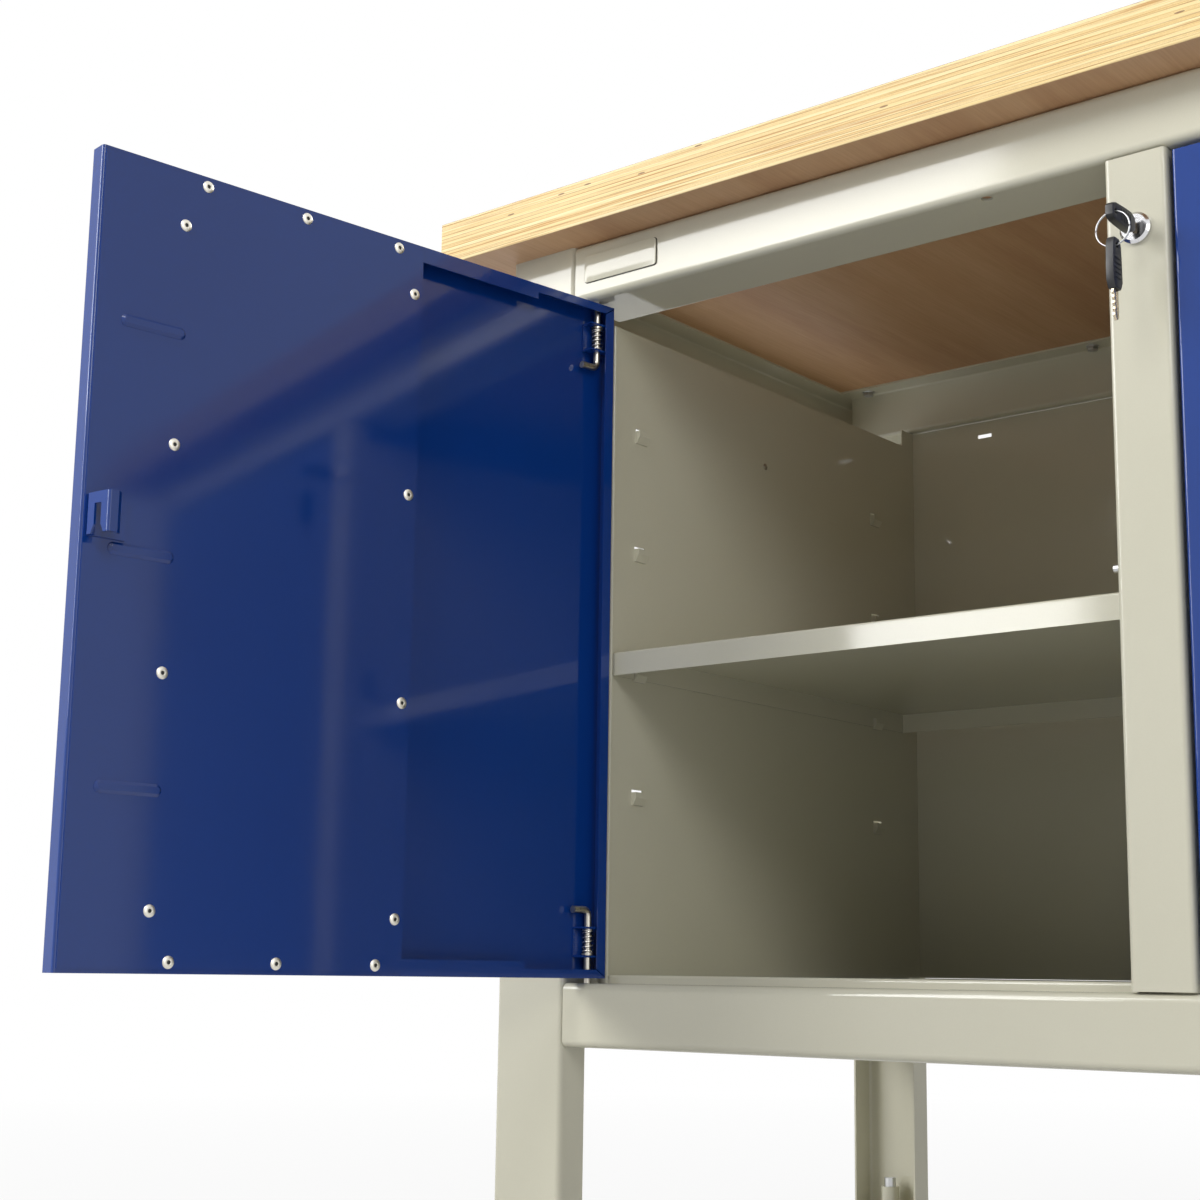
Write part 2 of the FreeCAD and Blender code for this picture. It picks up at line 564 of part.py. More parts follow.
# Stile between the doors, holed for the lock.
stile = body("stile")
pad(stile, polygon(sketch(stile, "XY_Plane"), [
    ("0", "0"), ("stile_width", "0"), ("stile_width", "stile_return"),
    ("stile_width - stile_wall", "stile_return"), ("stile_width - stile_wall", "stile_wall"),
    ("stile_wall", "stile_wall"), ("stile_wall", "stile_return"), ("0", "stile_return")]), "stile_tall")
bend(stile, "stile_bend", Z_AXIS, [("0", "0"), ("stile_width", "0")])
bend(stile, "stile_bend - stile_wall", Z_AXIS, [
    ("stile_wall", "stile_wall"), ("stile_width - stile_wall", "stile_wall")])
pocket(stile, circle(sketch(stile, "XZ_Plane", "overrun"), "stile_width / 2", "lock_height - stile_low",
                     "barrel_radius + barrel_clear"), "stile_wall + 2 * overrun")
place(node(stile, "stile"), "-stile_width / 2", "face", "stile_low")

# Lock body: bezel in front of the stile, barrel through it.
BORE = "plug_radius + plug_clear"
lock = body("lock_body")
revolve(lock, polygon(sketch(lock, "XY_Plane"), [
    (BORE, "0"), ("bezel_radius - bezel_round", "0"), ("bezel_radius", "bezel_round"),
    ("bezel_radius", "bezel_height"), ("barrel_radius", "bezel_height"),
    ("barrel_radius", "bezel_height + barrel_length"), (BORE, "bezel_height + barrel_length")]), "V_Axis")
place(node(lock, "lock_body"), "0", "face - bezel_height", "lock_height")

# Plug with its keyway, and the cam with its crank pin on the back end.
plug = body("lock_plug")
pad(plug, circle(sketch(plug, "XZ_Plane"), "0", "0", "plug_radius"), "plug_length", back=True)
pocket(plug, rectangle(sketch(plug, "XZ_Plane", "overrun"), "-keyway_width / 2", "-keyway_height / 2",
                       "keyway_width / 2", "keyway_height / 2"), "keyway_depth + overrun")
place(node(plug, "lock_plug"), "0", "face - bezel_height + plug_recess", "lock_height")

cam = body("lock_cam")
ROOT = "-cam_half * cos(45deg)"
TIP = "(crank_throw + cam_half) * cos(45deg)"
SIDE = "cam_half * cos(45deg)"
pad(cam, polygon(sketch(cam, "XZ_Plane"), [
    (ROOT + " - " + SIDE, "-(" + ROOT + ") - " + SIDE), (TIP + " - " + SIDE, "-(" + TIP + ") - " + SIDE),
    (TIP + " + " + SIDE, "-(" + TIP + ") + " + SIDE), (ROOT + " + " + SIDE, "-(" + ROOT + ") + " + SIDE)]),
    "cam_wall", back=True)
pad(cam, circle(sketch(cam, "XZ_Plane"), "crank_x", "crank_z", "crank_radius"), "cam_wall + crank_length",
    back=True)
place(node(cam, "lock_cam"), "0", "face + cam_front", "lock_height")

# Lock bar: a flat strip lifted by the crank pin, with a cross peg for both doors.
BAR_LOW = "peg_rest - bar_foot"
bar = body("bar_strip")
HEAD_LOW = "lock_height + crank_z - bar_head"
HEAD_TOP = "lock_height + crank_z + bar_rise"
pad(bar, polygon(sketch(bar, "XZ_Plane"), [
    ("-bar_tail / 2", BAR_LOW), ("bar_tail / 2", BAR_LOW), ("bar_tail / 2", HEAD_LOW), ("bar_width / 2", HEAD_LOW),
    ("bar_width / 2", HEAD_TOP), ("-bar_width / 2", HEAD_TOP), ("-bar_width / 2", HEAD_LOW),
    ("-bar_tail / 2", HEAD_LOW)]), "bar_wall", back=True)
pocket(bar, rectangle(
    sketch(bar, "XZ_Plane", "overrun"), "crank_x - crank_radius - bar_slot_clear",
    "lock_height + crank_z - crank_radius - bar_slot_clear", "crank_throw + crank_radius + bar_slot_clear",
    "lock_height + crank_z + crank_radius + bar_slot_clear"), "bar_wall + 2 * overrun")
place(bar, "0", "face + bar_front", "0")


def cross_rod(name, radius):
    return cylinder(name, radius, "2 * peg_reach", "-peg_reach", "face + peg_back", "peg_rest", V(0, 1, 0), "90")


node(cut("lock_bar", bar, cross_rod("peg_groove", "peg_radius + peg_clear")), "lock_bar")
node(cross_rod("lock_peg", "peg_radius"), "lock_peg")

# Guides: plates between the partitions that keep the bar upright.
GUIDE_WIDE = "-2 * (partition_face + panel_wall)"
guides = []
for drop in ("guide_low_drop", "guide_high_drop"):
    guide = body("bar_guide")
    pad(guide, rectangle(sketch(guide, "XY_Plane"), GUIDE_WIDE + " / -2", "-guide_depth / 2",
                         GUIDE_WIDE + " / 2", "guide_depth / 2"), "guide_wall")
    pocket(guide, rectangle(sketch(guide, "XY_Plane", "-overrun"), "-bar_tail / 2 - guide_clear",
                            "-bar_wall / 2 - guide_clear", "bar_tail / 2 + guide_clear",
                            "bar_wall / 2 + guide_clear"), "guide_wall + 2 * overrun", back=True)
    guides.append(place(guide, "0", "face + bar_front + bar_wall / 2", "lock_height - " + drop))
node(joined("Compound", "bar_guides", guides), "bar_guides")


def key(prefix):
    """Make a key lying along Y: the bow first, then the blade."""
    bow = body(prefix + "key_bow")
    pad(bow, rectangle(sketch(bow, "YZ_Plane", "-bow_thick / 2"), "0", "-bow_height / 2", "bow_length",
                       "bow_height / 2"), "bow_thick")
    bend(bow, "bow_round", X_AXIS, [(y, z) for y in ("0", "bow_length")
                                    for z in ("-bow_height / 2", "bow_height / 2")])
    pocket(bow, circle(sketch(bow, "YZ_Plane", "bow_thick + overrun"), "bow_hole_inset", "0",
                       "bow_hole_radius"), "2 * bow_thick + 2 * overrun")
    blade = body(prefix + "key_blade")
    pad(blade, polygon(sketch(blade, "YZ_Plane", "-blade_width / 2"), [
        ("bow_length", "-blade_height / 2"), ("bow_length + blade_length - blade_height / 2", "-blade_height / 2"),
        ("bow_length + blade_length", "0"), ("bow_length + blade_length - blade_height / 2", "blade_height / 2"),
        ("bow_length", "blade_height / 2")]), "blade_width")
    return node(bow, bow.Name), node(blade, blade.Name)


# Key in the lock, ring through its bow, spare key hanging from the ring.
for item in key(""):
    place(item, "0", "key_start", "lock_height")
ring = body("key_ring")
revolve(ring, rectangle(sketch(ring, "XY_Plane"), "ring_radius - ring_wire", "-ring_wire",
                        "ring_radius + ring_wire", "ring_wire"), "V_Axis")
place(node(ring, "key_ring"), "0", "key_start + bow_hole_inset", "lock_height - ring_radius")
for item in key("spare_"):
    turn(item, V(-1, 0, 0), "90")
    place(item, "0", "key_start + bow_hole_inset", "lock_height - 2 * ring_radius + bow_hole_inset")

# Left door, drawn shut with X from the hinge edge and Y from the skin inwards, then swung open.
door = []


def hang(item, label):
    turn(item, V(0, 0, -1), "open_angle")
    place(item, "door_x", "door_y", "door_low")
    doc.recompute()
    door.append(node(item, "left_" + label))
    return item


skin = body("left_door_skin")
pad(skin, rectangle(sketch(skin, "XZ_Plane"), "0", "0", "door_width", "door_height"), "door_depth", back=True)
pocket(skin, rectangle(sketch(skin, "XZ_Plane", "-door_wall"), "door_wall", "door_wall",
                       "door_width - door_wall", "door_height - door_wall"), "door_depth")
rim = sketch(skin, "XZ_Plane", "-(door_depth - door_wall)")
rectangle(rim, "0", "0", "door_width", "door_height")
polygon(rim, [
    ("rim_hinge", "rim_narrow"), ("rim_step", "rim_narrow"), ("rim_step", "rim_wide"),
    ("door_width - rim_free", "rim_wide"), ("door_width - rim_free", "door_height - rim_wide"),
    ("rim_step", "door_height - rim_wide"), ("rim_step", "door_height - rim_narrow"),
    ("rim_hinge", "door_height - rim_narrow")])
pad(skin, rim, "door_wall", back=True)
pocket(skin, circle(sketch(skin, "XY_Plane", "-overrun"), "pin_inset", "pin_depth", "pin_radius + pin_clear"),
       "door_height + 2 * overrun", back=True)
bend(skin, "door_bend", Z_AXIS, [(x, y) for x in ("0", "door_width") for y in ("0", "door_depth")])
mitres = sketch(skin, "XZ_Plane", "-door_depth")
for edge in ("0 + ", "door_height - "):
    polygon(mitres, [(x, edge + z) for x, z in (
        ("0", "mitre_gap"), ("rim_hinge", "(rim_narrow + mitre_gap)"), ("rim_hinge + mitre_gap", "rim_narrow"),
        ("mitre_gap", "0"))])
pocket(skin, mitres, "door_wall", back=True)
hang(skin, "door_skin")

stiffener = body("left_door_stiffener")
STIFF_END = "door_width - stiffener_side"
pad(stiffener, rectangle(sketch(stiffener, "XZ_Plane", "-door_depth"), "stiffener_start", "stiffener_end",
                         STIFF_END, "door_height - stiffener_end"), "stiffener_wall", back=True)
pad(stiffener, rectangle(sketch(stiffener, "XZ_Plane", "-door_wall"), "stiffener_start",
                         "rim_wide + stiffener_wall", "stiffener_start + stiffener_wall",
                         "door_height - rim_wide - stiffener_wall"), "door_depth - door_wall", back=True)
beads = sketch(stiffener, "XZ_Plane", "-door_depth - stiffener_wall")
corners = []
for count in range(BEADS):
    mid = "door_height / 2 + %d * rivet_pitch" % (count - BEADS // 2)
    low, high = mid + " - bead_width / 2", mid + " + bead_width / 2"
    rectangle(beads, "bead_start", low, "bead_start + bead_length", high)
    corners += [(x, z) for x in ("bead_start", "bead_start + bead_length") for z in (low, high)]
pad(stiffener, beads, "bead_height", back=True)
bend(stiffener, "bead_round", Y_AXIS, corners)
crest = value("door_depth + stiffener_wall + bead_height")
base = stiffener.Tip
crests = ["Edge%d" % count for count, edge in enumerate(base.Shape.Edges, start=1)
          if all(abs(end.Y - crest) < 1e-4 for end in edge.Vertexes)]
slopes = stiffener.newObject("PartDesign::Chamfer", "bead_slopes")
slopes.Base = (base, crests)
slopes.setExpression("Size", expr("bead_slope"))
doc.recompute()
hang(stiffener, "door_stiffener")

spots = []
for row in range(RIVET_ROWS):
    for column in ("rivet_inner", "rivet_outer"):
        spots.append((column, "rivet_end + %d * rivet_pitch" % row))
for column in range(RIVET_COLUMNS):
    for row in ("rivet_row", "door_height - rivet_row"):
        spots.append(("rivet_inner + rivet_row_inset + %d * rivet_row_pitch" % column, row))
rivets = []
for x, z in spots:
    rivet = doc.addObject("Part::Prism", "rivet")
    rivet.Polygon = RIVET_SIDES
    rivet.setExpression("Circumradius", expr("rivet_radius"))
    rivet.setExpression("Height", expr("rivet_height"))
    turn(rivet, V(-1, 0, 0), "90")
    rivets.append(place(rivet, x, "door_depth + stiffener_wall", z))
hang(joined("Compound", "left_door_rivets", rivets), "door_rivets")

# Keeper: a bracket folded up from the stiffener with a hook slot for the peg, hemmed over at the top.
KEEPER_X = "door_width - keeper_edge"
KEEPER_Y = "door_depth + stiffener_wall"
KEEPER_TOP = KEEPER_Y + " + keeper_reach"
LEAN_X = KEEPER_X + " - keeper_lean"
HEM_X = LEAN_X + " - keeper_hem"
keeper = body("left_keeper")
pad(keeper, polygon(sketch(keeper, "XY_Plane", "keeper_low"), [
    (KEEPER_X + " - keeper_base", KEEPER_Y), (KEEPER_X, KEEPER_Y), (LEAN_X, KEEPER_TOP), (HEM_X, KEEPER_TOP),
    (HEM_X + " - keeper_lip", KEEPER_TOP + " - keeper_lip"),
    (HEM_X + " - keeper_lip + keeper_wall / sqrt(2)", KEEPER_TOP + " - keeper_lip - keeper_wall / sqrt(2)"),
    (HEM_X + " + keeper_wall * tan(22.5deg)", KEEPER_TOP + " - keeper_wall"),
    (LEAN_X + " - keeper_wall", KEEPER_TOP + " - keeper_wall"),
    (KEEPER_X + " - keeper_wall", KEEPER_Y + " + keeper_wall"),
    (KEEPER_X + " - keeper_base", KEEPER_Y + " + keeper_wall")]), "keeper_height")
bend(keeper, "keeper_bend", Z_AXIS, [(KEEPER_X, KEEPER_Y), (LEAN_X, KEEPER_TOP)])
bend(keeper, "keeper_bend - keeper_wall", Z_AXIS, [
    (KEEPER_X + " - keeper_wall", KEEPER_Y + " + keeper_wall"),
    (LEAN_X + " - keeper_wall", KEEPER_TOP + " - keeper_wall")])
SLOT_Y = KEEPER_Y + " + hook_slot_at"
pocket(keeper, polygon(sketch(keeper, "YZ_Plane", KEEPER_X + " + overrun"), [
    (SLOT_Y + " - hook_slot / 2 - hook_lead", "keeper_low"), (SLOT_Y + " + hook_slot / 2 + hook_lead", "keeper_low"),
    (SLOT_Y + " + hook_slot / 2", "keeper_low + hook_lead_height"),
    (SLOT_Y + " + hook_slot / 2", "keeper_low + hook_slot_height"),
    (SLOT_Y + " - hook_slot / 2", "keeper_low + hook_slot_height"),
    (SLOT_Y + " - hook_slot / 2", "keeper_low + hook_lead_height")]), "overrun + keeper_lean + 2 * keeper_wall")
hang(keeper, "keeper")

# Pin brackets: a U of sheet welded to the skin at each end of the hinge edge.
bracket = body("upper_bracket")
TAB_END = "door_wall + bracket_reach"
BRACKET_HIGH = "bracket_low + bracket_height"
pad(bracket, polygon(sketch(bracket, "YZ_Plane", "bracket_start"), [
    ("door_wall", "bracket_low"), (TAB_END, "bracket_low"), (TAB_END, "bracket_low + bracket_wall"),
    ("door_wall + bracket_wall", "bracket_low + bracket_wall"),
    ("door_wall + bracket_wall", BRACKET_HIGH + " - bracket_wall"), (TAB_END, BRACKET_HIGH + " - bracket_wall"),
    (TAB_END, BRACKET_HIGH), ("door_wall", BRACKET_HIGH)]), "bracket_width")
bend(bracket, "bracket_bend", X_AXIS, [("door_wall", "bracket_low"), ("door_wall", BRACKET_HIGH)])
bend(bracket, "bracket_bend - bracket_wall", X_AXIS, [
    ("door_wall + bracket_wall", "bracket_low + bracket_wall"),
    ("door_wall + bracket_wall", BRACKET_HIGH + " - bracket_wall")])
pocket(bracket, circle(sketch(bracket, "XY_Plane", "bracket_low - overrun"), "pin_inset", "pin_depth",
                       "pin_radius + pin_clear"), "bracket_height + 2 * overrun", back=True)
lower_bracket = mirrored(bracket, "lower_bracket", V(0, 0, 1), z="door_height / 2")
hang(joined("Compound", "left_pin_brackets", [lower_bracket, bracket]), "pin_brackets")

# Hinge pin: a bent rod with a collar for its spring to push on.
BEND_Z = "door_height - arm_drop + arm_bend"
ARM_Z = "door_height - arm_drop"
pin = body("left_upper_pin")
path = sketch(pin, "XZ_Plane", "-pin_depth")
ends = [("pin_inset", "door_height + pin_reach"), ("pin_inset", BEND_Z), ("pin_inset + arm_bend", ARM_Z),
        ("pin_inset + arm_length", ARM_Z)]
top_end, bend_start, bend_end, arm_end = [V(value(x), value(z), 0) for x, z in ends]
path.addGeometry(Part.LineSegment(top_end, bend_start))
bow_centre = V(bend_end.x, bend_start.y, 0)
path.addGeometry(Part.ArcOfCircle(Part.Circle(bow_centre, V(0, 0, 1), value("arm_bend")), math.pi, 1.5 * math.pi))
path.addGeometry(Part.LineSegment(bend_end, arm_end))
path.addConstraint([Sketcher.Constraint("Coincident", 0, 2, 1, 1), Sketcher.Constraint("Coincident", 1, 2, 2, 1)])
for geometry, spot, (x, z) in ((0, 1, ends[0]), (0, 2, ends[1]), (2, 1, ends[2]), (2, 2, ends[3])):
    fix_point(path, geometry, spot, x, z)
bound = path.addConstraint(Sketcher.Constraint("Radius", 1, value("arm_bend")))
path.setExpression("Constraints[%d]" % bound, expr("arm_bend"))
rod = circle(sketch(pin, "XY_Plane", "door_height + pin_reach"), "pin_inset", "pin_depth", "pin_radius")
sweep = pin.newObject("PartDesign::AdditivePipe", "left_upper_pin_rod")
sweep.Profile = rod
sweep.Spine = (path, ["Edge1", "Edge2", "Edge3"])
doc.recompute()
pad(pin, circle(sketch(pin, "XY_Plane", "collar_low"), "pin_inset", "pin_depth", "collar_radius"), "collar_height")
hang(pin, "upper_pin")


def arc_from(start, heading, end):
    """Give the arc that leaves a point along a heading and reaches another point."""
    chord = end - start
    way = V(chord)
    way.normalize()
    middle = heading + way
    middle.normalize()
    return Part.Arc(start, start + middle * (chord.Length / 2 / middle.dot(way)), end).toShape()


def coil(centre, radius, low, high, turns):
    """Run a line round and up as pairs of arcs that meet smoothly."""
    steps = turns * STEPS_PER_TURN
    rise = (high - low) / (2 * math.pi * turns)
    spots = []
    for n in range(steps + 1):
        angle = 2 * math.pi * n / STEPS_PER_TURN
        heading = V(-radius * math.sin(angle), radius * math.cos(angle), rise)
        heading.normalize()
        out = V(radius * math.cos(angle), radius * math.sin(angle), low + rise * angle)
        spots.append((centre + out, heading))
    edges = []
    for (start, going), (end, coming) in zip(spots, spots[1:]):
        gap = end - start
        both = going + coming
        spread = 2 * (1 - going.dot(coming))
        reach = (math.sqrt(gap.dot(both) ** 2 + spread * gap.dot(gap)) - gap.dot(both)) / spread
        middle = (start + end + (going - coming) * reach) / 2
        edges.append(arc_from(start, going, middle))
        turned = arc_from(end, coming * -1, middle)
        turned.reverse()
        edges.append(turned)
    return spots[0], Part.Wire(edges)


# Spring round the pin, between the inner tab and the collar.
spring_low = value("bracket_low + bracket_wall + spring_seat + spring_wire")
spring_high = value("collar_low - spring_seat - spring_wire")
pin_centre = V(value("pin_inset"), value("pin_depth"), 0)
(spring_start, spring_heading), line = coil(
    pin_centre, value("spring_radius"), spring_low, spring_high, SPRING_TURNS)
outwards = spring_start - pin_centre - V(0, 0, spring_low)
outwards.normalize()
upwards = spring_heading.cross(outwards)
corners = []
for side in range(WIRE_SIDES + 1):
    angle = 2 * math.pi * side / WIRE_SIDES
    offset = outwards * math.cos(angle) + upwards * math.sin(angle)
    corners.append(spring_start + offset * value("spring_wire"))
section = Part.makePolygon(corners)
spring = doc.addObject("Part::Feature", "left_upper_spring")
spring.Shape = line.makePipeShell([section], True, False)
hang(spring, "upper_spring")
turn_gap = (spring_high - spring_low) / SPRING_TURNS - 2 * value("spring_wire")
print("least gap between spring turns %.2f mm" % turn_gap)

# The lower pin and spring mirror the upper ones.
for source, label in ((pin, "lower_pin"), (spring, "lower_spring")):
    door.append(node(mirrored(source, "left_" + label, V(0, 0, 1), z="door_mid"), "left_" + label))

# Right door: the left one mirrored and swung shut about its own pins.
for item in list(door):
    label = item.Label.replace("left", "right")
    shut = mirrored(item, label, V(1, 0, 0))
    turn(shut, V(0, 0, -1), "open_angle")
    place(shut, "pin_x * (cos(door_angle) - 1) - pin_y * sin(door_angle)",
          "pin_y * (1 - cos(door_angle)) - pin_x * sin(door_angle)", "0")
    node(shut, label)
doc.recompute()

# Check every piece and write it out.
os.makedirs("parts", exist_ok=True)
for item in doc.Objects:
    if "Invalid" in item.State or "Error" in item.State:
        raise RuntimeError("%s did not build: %s" % (item.Name, item.State))
for item in nodes:
    if item.Shape.isNull() or not item.Shape.isValid() or not item.Shape.Solids:
        raise RuntimeError("%s has no sound shape" % item.Label)
    item.Shape.exportStep("parts/" + item.Label + ".step")
print("%d pieces" % len(nodes))
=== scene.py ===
import json
import math

import bmesh
import bpy
from mathutils import Matrix, Vector


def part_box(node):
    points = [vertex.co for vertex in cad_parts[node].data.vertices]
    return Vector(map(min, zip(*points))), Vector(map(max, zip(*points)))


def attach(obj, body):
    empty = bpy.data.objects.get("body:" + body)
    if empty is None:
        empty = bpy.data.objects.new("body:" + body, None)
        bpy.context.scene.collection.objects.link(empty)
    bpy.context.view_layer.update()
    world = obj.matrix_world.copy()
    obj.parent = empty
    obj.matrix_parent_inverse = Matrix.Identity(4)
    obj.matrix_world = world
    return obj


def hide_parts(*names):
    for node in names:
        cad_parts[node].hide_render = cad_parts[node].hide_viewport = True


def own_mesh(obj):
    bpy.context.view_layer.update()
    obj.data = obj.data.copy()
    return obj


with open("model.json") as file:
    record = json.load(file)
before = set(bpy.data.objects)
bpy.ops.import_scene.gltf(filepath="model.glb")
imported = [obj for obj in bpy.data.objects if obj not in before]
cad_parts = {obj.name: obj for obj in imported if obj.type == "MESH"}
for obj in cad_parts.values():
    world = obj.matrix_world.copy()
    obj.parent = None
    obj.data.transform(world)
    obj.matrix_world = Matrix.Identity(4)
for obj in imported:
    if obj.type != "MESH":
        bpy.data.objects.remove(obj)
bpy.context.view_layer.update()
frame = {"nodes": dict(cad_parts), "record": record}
scene = bpy.context.scene
MM = 0.001
MILLI = Matrix.Scale(MM, 4)
TURN = 2 * math.pi


def mm(*values):
    """A vector given in millimetres."""
    return Vector([v * MM for v in values])


# Materials

MIX_A, MIX_B, MIX_COLOUR = 6, 7, 2  # the colour sockets of a Mix node
COAT_DRIFT, COAT_SPECK, COAT_HAZE, COAT_PEEL = 2.5, 900.0, 3.0, 420.0  # noise scales
HAZE_RANGE = 0.06  # of roughness
STAIN_SCALE, STAIN_SHARE, STAIN_DARK = 160.0, 0.6, 0.72
LINE_DEPTH, LINE_STRENGTH = 0.03 * MM, 0.4
SCUFF_SCALE, SPARK_SCALE, SPARK_DEPTH = 260.0, 1800.0, 0.05 * MM


def linear(*srgb):
    """A colour given as 0-255 display values, as the shader wants it."""
    out = []
    for v in srgb:
        v = v / 255
        out.append(v / 12.92 if v <= 0.04045 else ((v + 0.055) / 1.055) ** 2.4)
    return (*out, 1.0)


def grey(value):
    return (value, value, value, 1)


class Mat:
    """One node material with short calls for the nodes used here."""

    def __init__(self, name, rough, metal=0.0):
        self.mat = bpy.data.materials.new(name)
        self.mat.use_nodes = True
        self.tree = self.mat.node_tree
        self.shader = self.tree.nodes["Principled BSDF"]
        self.shader.inputs["Roughness"].default_value = rough
        self.shader.inputs["Metallic"].default_value = metal
        self.place = self.add("ShaderNodeTexCoord").outputs["Object"]

    def add(self, kind, **settings):
        node = self.tree.nodes.new(kind)
        for key, value in settings.items():
            setattr(node, key, value)
        return node

    def link(self, a, b):
        self.tree.links.new(a, b)

    def feed(self, socket, value):
        if isinstance(value, bpy.types.NodeSocket):
            self.link(value, socket)
        else:
            socket.default_value = value

    def math(self, operation, a, b=0.0, c=0.0):
        node = self.add("ShaderNodeMath", operation=operation)
        for socket, value in zip(node.inputs, (a, b, c)):
            self.feed(socket, value)
        return node.outputs[0]

    def noise(self, scale, vector=None, detail=3.0, rough=0.55):
        node = self.add("ShaderNodeTexNoise")
        self.link(vector or self.place, node.inputs["Vector"])
        node.inputs["Scale"].default_value = scale
        node.inputs["Detail"].default_value = detail
        node.inputs["Roughness"].default_value = rough
        return node.outputs["Fac"]

    def drawn(self, scales, detail=3.0, rough=0.55):
        """Noise with a scale of its own along each axis."""
        node = self.add("ShaderNodeMapping")
        self.link(self.place, node.inputs["Vector"])
        node.inputs["Scale"].default_value = scales
        return self.noise(1.0, node.outputs[0], detail, rough)

    def split(self, vector=None):
        node = self.add("ShaderNodeSeparateXYZ")
        self.link(vector or self.place, node.inputs[0])
        return node.outputs

    def ramp(self, fac, stops):
        node = self.add("ShaderNodeValToRGB")
        self.feed(node.inputs[0], fac)
        elements = node.color_ramp.elements
        while len(elements) < len(stops):
            elements.new(0.5)
        for element, (at, colour) in zip(elements, stops):
            element.position = at
            element.color = colour
        return node.outputs[0]

    def mix(self, fac, a, b, blend="MIX"):
        node = self.add("ShaderNodeMix", data_type="RGBA", blend_type=blend)
        self.feed(node.inputs[0], fac)
        self.feed(node.inputs[MIX_A], a)
        self.feed(node.inputs[MIX_B], b)
        return node.outputs[MIX_COLOUR]

    def bump(self, height, depth, strength=1.0):
        node = self.add("ShaderNodeBump")
        node.inputs["Strength"].default_value = strength
        node.inputs["Distance"].default_value = depth
        self.link(height, node.inputs["Height"])
        return node.outputs[0]

    def colour(self, value):
        self.feed(self.shader.inputs["Base Color"], value)

    def rough(self, value):
        self.feed(self.shader.inputs["Roughness"], value)

    def normal(self, value):
        self.link(value, self.shader.inputs["Normal"])


def powder_coat(name, deep, plain, pale, rough, peel):
    """Stoved powder coat: orange peel, a faint drift of colour, and dust-fine speckle."""
    m = Mat(name, rough)
    drift = m.noise(COAT_DRIFT, detail=2.0)
    body = m.ramp(drift, [(0.30, deep), (0.52, plain), (0.75, pale)])
    speck = m.noise(COAT_SPECK, detail=1.0)
    fleck = m.ramp(speck, [(0.0, grey(0.97)), (0.5, grey(1)), (1.0, grey(1.02))])
    m.colour(m.mix(1.0, body, fleck, "MULTIPLY"))
    haze = m.noise(COAT_HAZE, detail=3.0)
    m.rough(m.math("MULTIPLY_ADD", haze, HAZE_RANGE, rough - HAZE_RANGE / 2))
    m.normal(m.bump(m.noise(COAT_PEEL, detail=2.0), peel * MM))
    return m.mat


def metal(name, colour, rough, brush=(60.0, 60.0, 900.0), wear=0.12):
    """Bright metal with fine drawn lines and a little staining."""
    m = Mat(name, rough, metal=1.0)
    lines = m.drawn(brush, detail=4.0)
    stain = m.noise(STAIN_SCALE, detail=5.0, rough=0.7)
    dark = tuple(c * STAIN_DARK for c in colour[:3]) + (1.0,)
    m.colour(m.mix(m.math("MULTIPLY", stain, STAIN_SHARE), colour, dark))
    m.rough(m.math("MULTIPLY_ADD", lines, wear * 2, rough - wear))
    m.normal(m.bump(lines, LINE_DEPTH, LINE_STRENGTH))
    return m.mat


def moulded(name):
    """Black moulded plastic with a fine spark texture and scuffed high spots."""
    m = Mat(name, 0.42)
    scuff = m.noise(SCUFF_SCALE, detail=5.0, rough=0.7)
    m.colour(m.ramp(scuff, [(0.3, linear(22, 22, 23)), (0.6, linear(34, 34, 35)),
                            (0.85, linear(64, 63, 62))]))
    m.rough(m.math("MULTIPLY_ADD", scuff, 0.25, 0.3))
    m.normal(m.bump(m.noise(SPARK_SCALE, detail=2.0), SPARK_DEPTH))
    return m.mat


PLIES = 13
TOP_LOW, TOP_HIGH = (corner.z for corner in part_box("worktop"))
FACE_VENEER = 0.7 * MM
SWAY = 1.5 * MM  # how far a ply wanders up and down along the board
ON_END, ON_FACE = 0.6, 0.75  # how much of the normal makes a surface an end of the board, or a face
GLUE_FROM, GLUE_RISE = 0.40, 14.0  # where a glue line starts, from the middle of a ply, and how steeply
KNOTS_ALONG, KNOTS_UP = 34.0, 200.0  # cells per metre
KNOT_SIZE, KNOT_PICK = 0.13, 0.94  # radius in cells, and the share of cells without a knot
GRAIN_DEPTH, GRAIN_STRENGTH, SUNK = 0.25 * MM, 0.6, 0.8


